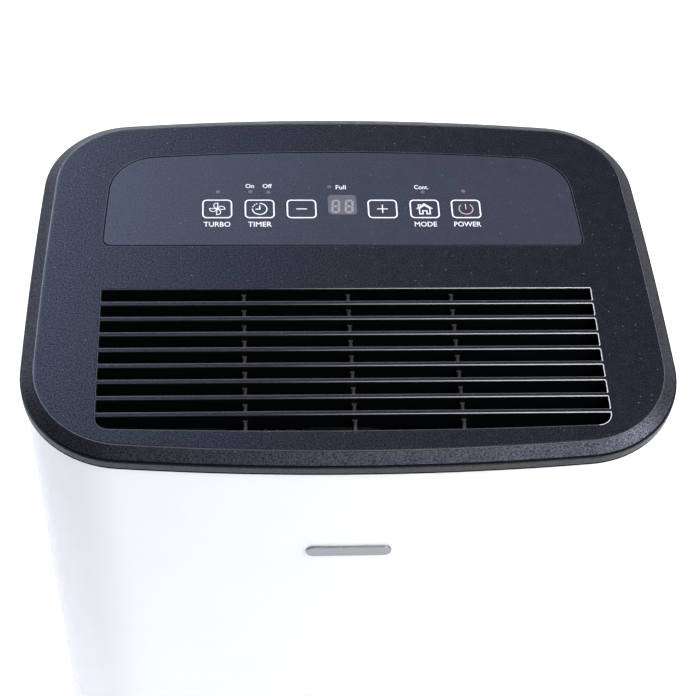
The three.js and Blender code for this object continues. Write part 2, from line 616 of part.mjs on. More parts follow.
function bucketLid() {
  const z = TANK.z1 + GAP;
  const sheet = prism(plan(TANK.inset), z, z + 2.5).intersect(bucketSpace(0, HEIGHT));
  const inlet = bar("z", 12, [z - 5, z + 10], [SPOUT.x, SPOUT.y]);
  const well = bar("z", 14, [z - 8, z + 2.5], [SPOUT.x, SPOUT.y]);
  const lugs = [-1, 1].map((side) =>
    box([side * 64.5 - 1.7, side * 64.5 + 1.7], [BAIL.y - 6, BAIL.y + 6], [z, BAIL.z + 6]));
  const ears = [-1, 1].map((side) =>
    box([FLOAT.x + side * 20 - 1.5, FLOAT.x + side * 20 + 1.5], [FLOAT.y - 5, FLOAT.y + 5], [FLOAT.z - 5, z + 1]));
  const pivots = [bar("x", BAIL.pin + 0.5, [-80, 80], [BAIL.y, BAIL.z], 16),
    bar("x", 2.5, [FLOAT.x - 30, FLOAT.x + 30], [FLOAT.y, FLOAT.z], 16)];
  return cut(join(sheet, well, ...lugs, ...ears), bar("z", 12, [0, HEIGHT], [SPOUT.x, SPOUT.y]), inlet, ...pivots);
}

function bucketHandle() {
  const gripY = BAIL.y + BAIL.reach;
  const half = BAIL.half;
  const gripBar = bar("x", BAIL.bar, [-half - 2, half + 2], [gripY, BAIL.z], 16);
  const legs = [-1, 1].map((side) =>
    box([side * half - 1.8, side * half + 1.8], [BAIL.y - 5, gripY], [BAIL.z - 3.5, BAIL.z + 3.5]));
  const pins = [-1, 1].map((side) => {
    const ends = [side * 62.4, side * (half + 1)].sort((a, b) => a - b);
    return bar("x", BAIL.pin, ends, [BAIL.y, BAIL.z], 12);
  });
  return join(gripBar, ...legs, ...pins);
}

function bucketFloat() {
  const block = box([FLOAT.x - 16, FLOAT.x + 16], [-98, -62], [84, 104]);
  const arms = [-1, 1].map((side) => {
    const x = FLOAT.x + side * 14;
    return wallPrismX([[-66, 88], [FLOAT.y - 4, FLOAT.z - 4], [FLOAT.y + 4, FLOAT.z - 4],
      [FLOAT.y + 4, FLOAT.z + 4], [FLOAT.y - 4, FLOAT.z + 4], [-66, 98]], x - 1.5, x + 1.5);
  });
  const pin = bar("x", 2, [FLOAT.x - 22, FLOAT.x + 22], [FLOAT.y, FLOAT.z], 12);
  return join(block, pin, ...arms);
}

// A prism of an outline drawn in the YZ plane, between two x.
function wallPrismX(points, x0, x1) {
  const shape = new THREE.Shape(points.map(([y, z]) => new THREE.Vector2(y, z)));
  const geometry = new THREE.ExtrudeGeometry(shape, { depth: x1 - x0, bevelEnabled: false });
  geometry.applyMatrix4(new THREE.Matrix4().makeBasis(
    new THREE.Vector3(0, 1, 0), new THREE.Vector3(0, 0, 1), new THREE.Vector3(1, 0, 0)));
  geometry.translate(x0, 0, 0);
  return toSolid(geometry);
}

add("bucket_tank", bucketTank(), PAINT.tank);
add("bucket_front", bucketFront(), PAINT.white);
add("level_window", levelWindow(), PAINT.smoke);
add("bucket_lid", bucketLid(), PAINT.grey);
add("bucket_handle", bucketHandle(), PAINT.grey);
add("bucket_float", bucketFloat(), PAINT.foam);

// ---------------------------------------------------------------- chassis: divider, drip tray
function dividerFrame() {
  const inside = prism(plan(CHASSIS_INSET), 0, HEIGHT);
  const bulkhead = box([-WIDTH, WIDTH], [-12, -9.5], [BASE_Z + BASE_SHEET + GAP, BUCKET_TOP_Z + 4]).intersect(inside);
  const ceiling = box([-WIDTH, WIDTH], [-DEPTH, -9.5], [BUCKET_TOP_Z + 1.5, BUCKET_TOP_Z + 4]).intersect(inside);
  const webTop = TRAY.z0 - GAP;
  const webs = [[-135, -132], [132, 135]].map((x) => box(x, [-12, 105], [BUCKET_TOP_Z + 1.5, webTop]));
  const shelves = [[-135, -119], [119, 135]].map((x) => box(x, [60, 105], [webTop - 2.5, webTop]));
  const spoutHole = bar("z", SPOUT.r + 2, [0, HEIGHT], [SPOUT.x, SPOUT.y]);
  return cut(join(bulkhead, ceiling, ...webs, ...shelves), spoutHole);
}

function dripTray() {
  const { half, y0, y1, z0, z1, wall } = TRAY;
  const pan = box([-half, half], [y0, y1], [z0, z1]);
  const trough = box([-half + wall, half - wall], [y0 + wall, y1 - wall], [z0 + wall, z1 + 1]);
  const channel = box([SPOUT.x - 9, SPOUT.x + 9], [SPOUT.y - 10, y0 + 1], [z0, z0 + 10]);
  const groove = box([SPOUT.x - 7, SPOUT.x + 7], [SPOUT.y - 8, y0 + wall + 1], [z0 + wall, z1 + 1]);
  const nozzle = bar("z", SPOUT.r, [SPOUT.z0, z0 + 1], [SPOUT.x, SPOUT.y]);
  const bore = bar("z", SPOUT.r - 2, [0, HEIGHT], [SPOUT.x, SPOUT.y], 16);
  return cut(join(pan, channel, nozzle), trough, groove, bore);
}

add("divider_frame", dividerFrame(), PAINT.chassis);
add("drip_tray", dripTray(), PAINT.grey);

// ---------------------------------------------------------------- refrigeration circuit
// A finned block with its tube bends at both ends.
function coil([y0, y1]) {
  const block = box([-COIL.half, COIL.half], [y0, y1], [COIL.z0, COIL.z1]);
  const middle = (y0 + y1) / 2;
  const bends = [];
  for (let i = 0; i < BEND.count; i++) {
    const z = BEND.z0 + i * BEND.pitch;
    for (const side of [-1, 1]) {
      const ends = [side * (COIL.half - 2), side * (COIL.half + BEND.reach)].sort((a, b) => a - b);
      bends.push(box(ends, [middle - 3, middle + 3], [z - 10, z + 10]));
    }
  }
  return join(block, ...bends);
}

function compressor() {
  const { x, y, r, z0, z1 } = COMPRESSOR;
  const can = turned([[0, z0], [r - 8, z0], [r, z0 + 8], [r, z1 - 18], [r - 6, z1 - 7], [r - 20, z1], [0, z1]],
    [x, y], 24);
  const feet = footCentres().map((at) => bar("z", 11, [z0, z0 + 4], at, 12));
  const holes = footCentres().map((at) => bar("z", 4.6, [z0 - 10, z0 + 20], at, 10));
  const accumulator = turned([[0, 78], [12, 78], [17, 86], [17, 172], [10, 182], [0, 182]], [x + 68, y + 8]);
  const neck = bar("x", 5, [x + 40, x + 60], [y + 6, 92], 12);
  const strap = box([x + 40, x + 60], [y + 2, y + 12], [140, 152]);
  return cut(join(can, accumulator, neck, strap, ...feet), ...holes);
}

function footCentres() {
  return [90, 210, 330].map((degrees) => {
    const a = THREE.MathUtils.degToRad(degrees);
    return [COMPRESSOR.x + 48 * Math.cos(a), COMPRESSOR.y + 48 * Math.sin(a)];
  });
}

// A waisted rubber bush that stands on the base pan under a compressor foot.
const grommet = (at) => {
  const top = COMPRESSOR.z0 - GAP;
  const base = BASE_Z + BASE_SHEET + GAP;
  return turned([[0, base], [9, base], [9, base + 3], [6.5, base + 6], [6.5, top - 4], [9, top - 2], [9, top],
    [4, top], [4, top + 7], [0, top + 7]], at, 12);
};

function terminalCover() {
  const z = COMPRESSOR.z1 + GAP;
  return turned([[0, z], [15, z], [15, z + 7], [12, z + 11], [0, z + 11]], [COMPRESSOR.x - 6, COMPRESSOR.y + 4]);
}

add("evaporator", coil(COIL.evaporatorY), PAINT.aluminium);
add("condenser", coil(COIL.condenserY), PAINT.aluminium);
add("compressor", compressor(), PAINT.compressor);
add("terminal_cover", terminalCover(), PAINT.rubber);
footCentres().forEach((at, i) => add(`compressor_grommet_${i + 1}`, grommet(at), PAINT.rubber));

// Pipes run in front of the drip tray and round its ends.
const coilMiddle = ([y0, y1]) => (y0 + y1) / 2;
const END = COIL.half + BEND.reach; // outer face of the tube bends
const bendZ = (index) => BEND.z0 + index * BEND.pitch;

const suctionPipe = () => pipe([
  [COMPRESSOR.x + 68, COMPRESSOR.y + 8, 183], [7, 57, 197], [12, 42, 212], [44, 36, 240], [100, 38, 256],
  [142, 52, 262], [150, 74, 264], [144, 91, bendZ(0)], [END + 1, coilMiddle(COIL.evaporatorY), bendZ(0)],
], PIPE, 30);

const dischargePipe = () => pipe([
  [COMPRESSOR.x - 22, COMPRESSOR.y - 8, COMPRESSOR.z1 + 1], [-85, 41, 217], [-96, 34, 238], [-128, 34, 262],
  [-146, 44, 300], [-148, 56, 380], [-144, 66, bendZ(5)], [-END - 1, coilMiddle(COIL.condenserY), bendZ(5)],
], PIPE, 30);

// A thin tube wound into a short coil beside the heat exchangers.
function capillaryTube() {
  const turns = 3;
  const points = [[END + 1, coilMiddle(COIL.condenserY), bendZ(1)]];
  for (let i = 0; i <= turns * 8; i++) {
    const a = (i / 8) * 2 * Math.PI;
    points.push([149 + 4 * Math.sin(a), 66 - 11 * Math.cos(a), 308 + i * 1.1]);
  }
  points.push([END + 1, coilMiddle(COIL.evaporatorY), bendZ(3)]);
  return pipe(points, CAPILLARY, 64, 6);
}

add("suction_pipe", suctionPipe(), PAINT.copper);
add("discharge_pipe", dischargePipe(), PAINT.copper);
add("capillary_tube", capillaryTube(), PAINT.copper);

// ---------------------------------------------------------------- fan
// Spiral scroll whose mouth flares up to the discharge grille, drawn in the XZ plane.
function scrollOutline(shrink) {
  const points = [];
  const steps = 20;
  for (let i = 0; i <= steps; i++) {
    const turn = i / steps;
    const a = THREE.MathUtils.degToRad(150 + 240 * turn);
    const r = FAN.start + FAN.growth * turn - shrink;
    points.push(new THREE.Vector2(r * Math.cos(a), FAN.z + r * Math.sin(a)));
  }
  const mouth = FAN.flare - shrink;
  points.push(new THREE.Vector2(mouth, 452), new THREE.Vector2(mouth, FAN.top));
  points.push(new THREE.Vector2(-mouth, FAN.top), new THREE.Vector2(-mouth, 452));
  return points;
}

function fanHousing() {
  const outer = wallPrism(scrollOutline(0), FAN.y0 + 2.5 + GAP, FAN.y1);
  const hollow = wallPrism(scrollOutline(WALL), FAN.y0 - 5, FAN.y1 - WALL);
  const mouth = box([-FAN.flare + WALL, FAN.flare - WALL], [FAN.y0, FAN.y1 - WALL], [460, FAN.top + 5]);
  const inlet = bar("y", 56, [FAN.y1 - 10, FAN.y1 + 10], [0, FAN.z], 24);
  return cut(outer, hollow, mouth, inlet);
}

// Closes the scroll at the front and stands on the ceiling of the bucket bay.
function motorPlate() {
  const plate = wallPrism(scrollOutline(0), FAN.y0, FAN.y0 + 2.5);
  const foot = box([-70, 70], [FAN.y0, FAN.y0 + 2.5], [BUCKET_TOP_Z + 4 + GAP, FAN.z - 60]);
  return join(plate, foot);
}

function fanMotor() {
  const start = FAN.y0 + 2.5 + GAP;
  const can = bar("y", MOTOR.r, [start, start + MOTOR.depth], [0, FAN.z], 20);
  const boss = bar("y", MOTOR.boss, [start + MOTOR.depth - 1, start + MOTOR.depth + 2], [0, FAN.z]);
  const ears = [45, 165, 285].map((degrees) => {
    const a = THREE.MathUtils.degToRad(degrees);
    return bar("y", MOTOR.ear, [start, start + 4],
      [MOTOR.earAt * Math.cos(a), FAN.z + MOTOR.earAt * Math.sin(a)], 12);
  });
  return join(can, boss, ...ears);
}

const motorShaft = () =>
  bar("y", SHAFT.r, [FAN.y0 + 2.5 + 2 * GAP + MOTOR.depth + 2, SHAFT.y1], [0, FAN.z], 12);

function fanWheel() {
  const { r, inner, y0, y1, blades } = ROTOR;
  const disc = bar("y", r, [y0, y0 + 2.5], [0, FAN.z], 24);
  const hub = bar("y", 9, [y0, y0 + 22], [0, FAN.z]);
  const rim = cut(bar("y", r + 1, [y1 - 4, y1], [0, FAN.z], 24), bar("y", r - 5, [y1 - 8, y1 + 4], [0, FAN.z], 24));
  const vanes = [];
  for (let i = 0; i < blades; i++) {
    const vane = new THREE.BoxGeometry(r - inner, y1 - y0 - 2, 1.4);
    vane.rotateY(ROTOR.lean);
    vane.translate((r + inner) / 2 - 0.5, (y0 + y1) / 2, 0);
    vane.rotateY((2 * Math.PI * i) / blades);
    vane.translate(0, 0, FAN.z);
    vanes.push(toSolid(vane));
  }
  return cut(join(disc, hub, rim, ...vanes), bar("y", SHAFT.r + 0.5, [y0 - 5, y0 + 40], [0, FAN.z], 12));
}

add("fan_housing", fanHousing(), PAINT.chassis);
add("motor_plate", motorPlate(), PAINT.chassis);
add("fan_motor", fanMotor(), PAINT.steel);
add("motor_shaft", motorShaft(), PAINT.steel);
add("fan_wheel", fanWheel(), PAINT.nylon);

// ---------------------------------------------------------------- electronics
function electronicsBox() {
  const outer = box([BOX.x0, BOX.x1], [BOX.y0, BOX.y1], [BOX.z0, BOX.z1]);
  const { wall } = BOX;
  return cut(outer, box([BOX.x0 + wall, BOX.x1 + 1], [BOX.y0 + wall, BOX.y1 - wall], [BOX.z0 + wall, BOX.z1 - wall]));
}

function mainBoard() {
  const x = BOX.x0 + BOX.wall + GAP;
  const sheet = box([x, x + BOARD], [BOX.y0 + 5, BOX.y1 - 5], [BOX.z0 + 5, BOX.z1 - 5]);
  const transformer = box([x + 1, x + 24], [-24, 8], [326, 366]);
  const relays = [0, 1].map((i) => box([x + 1, x + 16], [-14 + i * 16, -3 + i * 16], [286, 306]));
  const sink = box([x + 1, x + 20], [-14, 6], [250, 276]);
  return join(sheet, transformer, sink, ...relays);
}

add("electronics_box", electronicsBox(), PAINT.chassis);
add("main_board", mainBoard(), PAINT.board);
add("run_capacitor", bar("z", 13, [BOX.z0 + BOX.wall + GAP, 310], [-134, -40]), PAINT.steel);
add("humidity_sensor", box([98, 110], [COIL.evaporatorY[1] + GAP, FILTER.y0 - GAP], [330, 352]), PAINT.white);
add("reed_switch", box([FLOAT.x - 12, FLOAT.x + 12], [-9.1, -4], [92, 112]), PAINT.black);

export default model;
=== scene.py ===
"""Looks for a portable dehumidifier: a charcoal top with its control panel and discharge grille, a glossy
white casing, the water bucket, the intake side, the casters and the machinery inside. Lengths are in
millimetres until a mesh is made, and metres after that."""
import math

import bmesh
import bpy
from mathutils import Matrix, Vector


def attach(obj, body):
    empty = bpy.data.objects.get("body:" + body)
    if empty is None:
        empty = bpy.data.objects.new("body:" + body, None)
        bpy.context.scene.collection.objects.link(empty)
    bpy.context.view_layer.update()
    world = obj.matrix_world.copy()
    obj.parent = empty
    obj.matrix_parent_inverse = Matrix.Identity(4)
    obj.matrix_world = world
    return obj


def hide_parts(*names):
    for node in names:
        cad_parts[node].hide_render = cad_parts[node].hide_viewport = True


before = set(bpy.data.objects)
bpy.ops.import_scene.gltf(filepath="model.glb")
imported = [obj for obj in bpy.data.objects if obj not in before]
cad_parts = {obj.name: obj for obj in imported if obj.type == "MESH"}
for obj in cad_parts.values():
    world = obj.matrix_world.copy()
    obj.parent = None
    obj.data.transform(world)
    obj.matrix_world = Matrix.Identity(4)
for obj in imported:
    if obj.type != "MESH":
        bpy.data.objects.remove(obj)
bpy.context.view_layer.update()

# ------ driving dimensions, the same as the CAD's
MM = 0.001
WIDTH, DEPTH, HEIGHT = 350, 245, 510
GAP = 0.4
WALL = 2.5
FRONT_RADIUS, BACK_RADIUS, SIDE_RADIUS = 1508, 1383, 2608
SIDE_APEX_Y = -100
FRONT_CORNER, BACK_CORNER = 56.7, 49.7
BEVEL_REACH, BEVEL_DROP, LIP_DROP = 7.7, 4.7, 11.5
BODY_INSET = 1.7
INNER_INSET = BODY_INSET + WALL
LIP_TOP = HEIGHT - BEVEL_DROP - 0.6
SHADOW_STRIP = 1.2  # height of the dark strip along the lip's foot, a painted shadow of the gap under the lip
CREASE_WIDTH = 0.7
CHASSIS_INSET = INNER_INSET + 0.8
BASE_Z = 20
BODY_TOP_Z = HEIGHT - LIP_DROP - GAP
SEAM_Y = 45

SLOT_PITCH, BAR_WIDTH, BAR_COUNT, FIRST_BAR_Y = 10.33, 2.6, 8, -19
GRILLE_HALF, GRILLE_BACK_Y, GRILLE_FRONT_Y = 133.9, -9.5, -102.4
GRILLE_BOW = 2.3  # how far the front edge curves back towards its corners
GRILLE_CORNER, BAR_DEPTH = 7, 12
SLOT_EASE = 0.3  # the cut corners of the straight slots
RIB_X, RIB_DROP, RIB_WIDTH, RIB_DEPTH = 57, 5, 2, 10

PANEL_FRONT_Y, PANEL_SIDE_INSET, PANEL_BACK_INSET, PANEL_CORNER = 21.3, 37.3, 30.2, 27
RECESS_DEPTH = 1.3
FILM_TOP = HEIGHT - 0.03  # the print stands on the film and reaches the full height
PRINT_Z = (FILM_TOP - 0.02, HEIGHT)
BUTTON_Y = 48.3
BUTTON_W, BUTTON_D, BUTTON_CORNER = 17.2, 14.2, 2.6
BUTTON_X = {"turbo": -71.3, "timer": -47.4, "minus": -23.7, "plus": 22.3, "mode": 46.3, "power": 70}
WINDOW_W, WINDOW_D, WINDOW_X, WINDOW_Y = 16.7, 15.1, -0.5, 51.6

BUCKET_SIDE_Y, BUCKET_TOP_Z, BUCKET_BACK_Y = -70, 186, -14
TANK_INSET, TANK_WALL, TANK_Z0, TANK_Z1 = 10.5, 2.2, 41, 124
LEVEL_W, LEVEL_Z0, LEVEL_Z1 = 16, 57, 143
GRIP_HALF, GRIP_Z0, GRIP_Z1, GRIP_DEPTH = 48, 156, 178, 18
HAND_Y0, HAND_Y1, HAND_Z0, HAND_Z1, HAND_DEPTH = -46, 34, 396, 424, 24
SCREWS = {"upper_left": (-108, 478), "upper_right": (108, 478),
          "lower_left": (-108, 38), "lower_right": (108, 38)}
DRAIN_X, DRAIN_Z = 104, 206
CORD_X, CORD_Z = 70, 58
INTAKE_HALF, INTAKE_Z0, INTAKE_Z1 = 118, 240.6, 451.4
INTAKE_SLOT, INTAKE_PITCH, INTAKE_ROWS = 10.4, 16.4, 12
CASTERS = {"front_left": (-126, -74), "front_right": (126, -74),
           "rear_left": (-124, 68), "rear_right": (124, 68)}
WHEEL_R, WHEEL_HALF, WHEEL_TRAIL = 12, 7.2, 7
BACK_CUT = (60, DEPTH)  # the depth of cuts through the back wall
BEVELLED_FROM = math.radians(40)
SHARPEST_MITRE = 0.6  # keeps the outside of a line's sharp corners short


# ------ outlines
def arc(centre, radius, start, end, steps, with_end=False):
    """Points of an arc; its own end point is left to the next stretch unless it is asked for."""
    angles = [start + (end - start) * i / steps for i in range(steps + 1 if with_end else steps)]
    return [(centre[0] + radius * math.cos(a), centre[1] + radius * math.sin(a)) for a in angles]


def meeting(a, ra, b, rb):
    """Where two circles cross, on the side with the larger x."""
    d = math.hypot(b[0] - a[0], b[1] - a[1])
    along = (d * d + ra * ra - rb * rb) / (2 * d)
    across = math.sqrt(ra * ra - along * along)
    ux, uy = (b[0] - a[0]) / d, (b[1] - a[1]) / d
    return max((a[0] + ux * along - uy * s, a[1] + uy * along + ux * s) for s in (-across, across))


def angle_to(a, b):
    return math.atan2(b[1] - a[1], b[0] - a[0])


FRONT_CENTRE = (0, -DEPTH / 2 + FRONT_RADIUS)
BACK_CENTRE = (0, DEPTH / 2 - BACK_RADIUS)
SIDE_CENTRE = (WIDTH / 2 - SIDE_RADIUS, SIDE_APEX_Y)


def mirrored(points):
    return [(-x, y) for x, y in reversed(points)]


def plan(inset, corner=18, edge=12):
    """The casing's plan, inset from the rim of the top cover; anticlockwise from the middle of the front."""
    front_corner = meeting(FRONT_CENTRE, FRONT_RADIUS - FRONT_CORNER, SIDE_CENTRE, SIDE_RADIUS - FRONT_CORNER)
    back_corner = meeting(BACK_CENTRE, BACK_RADIUS - BACK_CORNER, SIDE_CENTRE, SIDE_RADIUS - BACK_CORNER)
    a1 = angle_to(FRONT_CENTRE, front_corner)
    a2 = angle_to(SIDE_CENTRE, front_corner)
    a3 = angle_to(SIDE_CENTRE, back_corner)
    a4 = angle_to(BACK_CENTRE, back_corner)
    half = (arc(FRONT_CENTRE, FRONT_RADIUS - inset, -math.pi / 2, a1, edge)
            + arc(front_corner, FRONT_CORNER - inset, a1, a2, corner)
            + arc(SIDE_CENTRE, SIDE_RADIUS - inset, a2, a3, edge)
            + arc(back_corner, BACK_CORNER - inset, a3, a4, corner)
            + arc(BACK_CENTRE, BACK_RADIUS - inset, a4, math.pi / 2, edge))
    return half + [(0, DEPTH / 2 - inset)] + mirrored(half[1:])


def panel_outline(shrink=0.0):
    """The control film: its back and sides follow the rim, its front is straight."""
    back = BACK_RADIUS - PANEL_BACK_INSET - shrink
    side = SIDE_RADIUS - PANEL_SIDE_INSET - shrink
    corner = PANEL_CORNER - shrink
    small = 4
    middle = meeting(BACK_CENTRE, back - corner, SIDE_CENTRE, side - corner)
    low = PANEL_FRONT_Y + shrink
    side_x = SIDE_CENTRE[0] + math.sqrt(side ** 2 - (low + small - SIDE_CENTRE[1]) ** 2)
    start = math.asin((low + small - SIDE_CENTRE[1]) / side)
    half = (arc((side_x - small, low + small), small, -math.pi / 2, 0, 5)
            + arc(SIDE_CENTRE, side, start, angle_to(SIDE_CENTRE, middle), 6)
            + arc(middle, corner, angle_to(SIDE_CENTRE, middle), angle_to(BACK_CENTRE, middle), 16)
            + arc(BACK_CENTRE, back, angle_to(BACK_CENTRE, middle), math.pi / 2, 10))
    return half + [(0, DEPTH / 2 - PANEL_BACK_INSET - shrink)] + mirrored(half)


def round_rect(centre, w, h, r, steps=6):
    corners = ((1, -1, -90), (1, 1, 0), (-1, 1, 90), (-1, -1, 180))
    points = []
    for sx, sy, start in corners:
        middle = (centre[0] + sx * (w / 2 - r), centre[1] + sy * (h / 2 - r))
        points += arc(middle, r, math.radians(start), math.radians(start + 90), steps, True)
    return points


def circle(centre, radius, steps=48):
    return arc(centre, radius, 0, 2 * math.pi, steps)


def slot_outlines():
    """The grille's slots, from back to front; the front ones follow the opening's rounded corners."""
    corner_y = GRILLE_FRONT_Y + GRILLE_BOW + GRILLE_CORNER
    corner_x = GRILLE_HALF - GRILLE_CORNER

    def half_width(y):
        if y >= corner_y:
            return GRILLE_HALF
        return corner_x + math.sqrt(GRILLE_CORNER ** 2 - (corner_y - y) ** 2)

    edges = [GRILLE_BACK_Y]
    for i in range(BAR_COUNT):
        y = FIRST_BAR_Y - i * SLOT_PITCH
        edges += [y + BAR_WIDTH / 2, y - BAR_WIDTH / 2]
    slots = []
    for back, low in zip(edges[0::2], edges[1::2]):
        side = [(half_width(low + (back - low) * k / 4), low + (back - low) * k / 4) for k in range(5)]
        tip = [(side[-1][0], back - SLOT_EASE), (side[-1][0] - SLOT_EASE, back)]
        foot = [(side[0][0] - SLOT_EASE, low), (side[0][0], low + SLOT_EASE)]
        half = foot + side[1:-1] + tip
        slots.append(half + mirrored(half))
    y = edges[-1]
    start = math.asin((y - corner_y) / GRILLE_CORNER)
    corner = arc((corner_x, corner_y), GRILLE_CORNER, -math.pi / 2, start, 10, True)
    bow = [(corner_x * k / 10, GRILLE_FRONT_Y + GRILLE_BOW * (k / 10) ** 2) for k in range(10)]
    half = bow + corner
    slots.append(half + mirrored(half[1:]))
    return slots


def offset(points, distance):
    """Moves a closed anticlockwise outline outwards."""
    moved = []
    for i, (x, y) in enumerate(points):
        before = Vector((x - points[i - 1][0], y - points[i - 1][1])).normalized()
        nxt = points[(i + 1) % len(points)]
        after = Vector((nxt[0] - x, nxt[1] - y)).normalized()
        a, b = Vector((before.y, -before.x)), Vector((after.y, -after.x))
        step = (a + b) * distance / (1 + a.dot(b))
        moved.append((x + step.x, y + step.y))
    return moved


# ------ mesh building
class Shape:
    """Collects the faces of one piece, in millimetres. turn maps the drawing's axes to the piece's."""

    def __init__(self, turn=None):
        self.bm = bmesh.new()
        self.turn = turn or Matrix.Identity(4)

    def ring(self, points, z):
        return [self.bm.verts.new(self.turn @ Vector((x, y, z))) for x, y in points]

    def bridge(self, low, high):
        count = len(low)
        for i in range(count):
            j = (i + 1) % count
            self.bm.faces.new((low[i], low[j], high[j], high[i]))

    def cap(self, ring, up=True):
        self.bm.faces.new(ring if up else list(reversed(ring)))

    def fill(self, loops):
        """A flat face between an outer loop and the loops of its holes."""
        edges = []
        for loop in loops:
            for i, vert in enumerate(loop):
                other = loop[(i + 1) % len(loop)]
                edges.append(self.bm.edges.get((vert, other)) or self.bm.edges.new((vert, other)))
        bmesh.ops.triangle_fill(self.bm, use_beauty=True, edges=edges)

    def loft(self, levels, close=True):
        """levels: (outline, z) from the bottom up, all outlines with the same number of points."""
        rings = [self.ring(points, z) for points, z in levels]
        for low, high in zip(rings, rings[1:]):
            self.bridge(low, high)
        if close:
            self.cap(rings[0], up=False)
            self.cap(rings[-1])
        return rings

    def prism(self, points, z0, z1, top=0.0, bottom=0.0, steps=3):
        """A prism with rounded edges round its two ends."""
        self.loft([(offset(points, -inset), z) for inset, z in rounded(z0, z1, top, bottom, steps)])
        return self

    def box(self, x, y, z, radius=0.0):
        if radius:
            middle = ((x[0] + x[1]) / 2, (y[0] + y[1]) / 2)
            return self.prism(round_rect(middle, x[1] - x[0], y[1] - y[0], radius, 3), *z, radius, radius, 2)
        return self.prism([(x[0], y[0]), (x[1], y[0]), (x[1], y[1]), (x[0], y[1])], *z)

    def turned(self, profile, centre=(0, 0), sides=48):
        """A solid of revolution about the drawing's Z. The profile's (radius, z) points start and end on
        the axis, or come back to the first one."""
        rings = [self.ring(circle(centre, radius, sides) if radius else [centre], z) for radius, z in profile]
        for low, high in zip(rings, rings[1:]):
            if len(low) > 1 and len(high) > 1:
                self.bridge(low, high)
                continue
            for i in range(sides):
                j = (i + 1) % sides
                if len(high) > 1:
                    self.bm.faces.new((low[0], high[j], high[i]))
                elif len(low) > 1:
                    self.bm.faces.new((low[i], low[j], high[0]))
        return self

    def stroke(self, points, width, z0, z1, closed=False):
        """A flat printed line along a path."""
        count = len(points)
        rings = []
        for i, (x, y) in enumerate(points):
            before = points[i - 1] if closed or i else None
            after = points[(i + 1) % count] if closed or i + 1 < count else None
            into = Vector((x - before[0], y - before[1])).normalized() if before else None
            out = Vector((after[0] - x, after[1] - y)).normalized() if after else None
            into, out = into or out, out or into
            a, b = Vector((into.y, -into.x)), Vector((out.y, -out.x))
            step = (a + b) * (width / 2) / max(1 + a.dot(b), SHARPEST_MITRE)
            rings.append([self.bm.verts.new(self.turn @ Vector((x + s * step.x, y + s * step.y, z)))
                          for s, z in ((1, z0), (1, z1), (-1, z1), (-1, z0))])
        for i in range(count if closed else count - 1):
            self.bridge(rings[i], rings[(i + 1) % count])
        if not closed:
            self.cap(rings[0], up=False)
            self.cap(rings[-1])
        return self

    def absorb(self, obj):
        """Takes over the mesh of an object that has served its purpose."""
        self.bm.from_mesh(obj.data)
        bpy.data.objects.remove(obj)
        return self


def rounded(z0, z1, top=0.0, bottom=0.0, steps=3):
    """(inset, z) levels of a wall whose two ends are rounded."""
    levels = []
    for k in range(steps + 1 if bottom else 1):
        a = math.pi / 2 * k / steps if bottom else math.pi / 2
        levels.append((bottom * (1 - math.sin(a)), z0 + bottom * (1 - math.cos(a)) if bottom else z0))
    for k in range(steps + 1 if top else 1):
        a = math.pi / 2 * k / steps if top else 0
        levels.append((top * (1 - math.cos(a)), z1 - top * (1 - math.sin(a)) if top else z1))
    return levels


# FACING_Y draws (x, z) and its depth is y; FACING_X draws (y, z) and its depth is x
FACING_Y = Matrix(((1, 0, 0, 0), (0, 0, 1, 0), (0, 1, 0, 0), (0, 0, 0, 1)))
FACING_X = Matrix(((0, 0, 1, 0), (1, 0, 0, 0), (0, 1, 0, 0), (0, 0, 0, 1)))


def add_object(name, data):
    obj = bpy.data.objects.new(name, data)
    bpy.context.scene.collection.objects.link(obj)
    return obj


def mesh_object(name, shape):
    bmesh.ops.recalc_face_normals(shape.bm, faces=shape.bm.faces)
    mesh = bpy.data.meshes.new(name)
    shape.bm.to_mesh(mesh)
    shape.bm.free()
    return add_object(name, mesh)


def evaluated_mesh(obj):
    bpy.context.view_layer.update()
    return bpy.data.meshes.new_from_object(obj.evaluated_get(bpy.context.evaluated_depsgraph_get()))


def carve(obj, shape, operation="DIFFERENCE"):
    """Cuts, joins or intersects an object with a shape that has served its purpose afterwards."""
    tool = mesh_object("tool", shape)
    modifier = obj.modifiers.new("carve", "BOOLEAN")
    modifier.operation = operation
    modifier.solver = "EXACT"
    modifier.use_self = True
    modifier.object = tool
    made = evaluated_mesh(obj)
    obj.modifiers.clear()
    old, obj.data = obj.data, made
    bpy.data.meshes.remove(old)
    bpy.data.objects.remove(tool)


def add_blocks(obj, blocks):
    """Adds separate (x, y, z) blocks to an object's own mesh."""
    shape = Shape()
    shape.bm.from_mesh(obj.data)
    for x, y, z in blocks:
        shape.box(x, y, z)
    shape.bm.to_mesh(obj.data)
    shape.bm.free()


def bevel_edges(obj, width, segments=2):
    modifier = obj.modifiers.new("edges", "BEVEL")
    modifier.width = width * MM
    modifier.segments = segments
    modifier.limit_method = "ANGLE"
    modifier.angle_limit = BEVELLED_FROM
    modifier.harden_normals = True
    return modifier


def weight_normals(obj):
    obj.modifiers.new("normals", "WEIGHTED_NORMAL").keep_sharp = True


def finish_piece(obj, finish, body, replaces=(), smooth=32, bevel=0.0, segments=2):
    """Scales a piece to metres, gives it its finish and rounds its edges."""
    obj.data.transform(Matrix.Scale(MM, 4))
    obj.data.materials.clear()
    obj.data.materials.append(finish)
    obj.data.shade_smooth()
    if bevel:
        bevel_edges(obj, bevel, segments).miter_outer = "MITER_ARC"
    else:
        obj.data.set_sharp_from_angle(angle=math.radians(smooth))
        weight_normals(obj)
    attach(obj, body)
    if replaces:
        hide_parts(*replaces)


def make(name, shape, finish, body="cabinet", **edges):
    finish_piece(mesh_object(name, shape), finish, body, **edges)


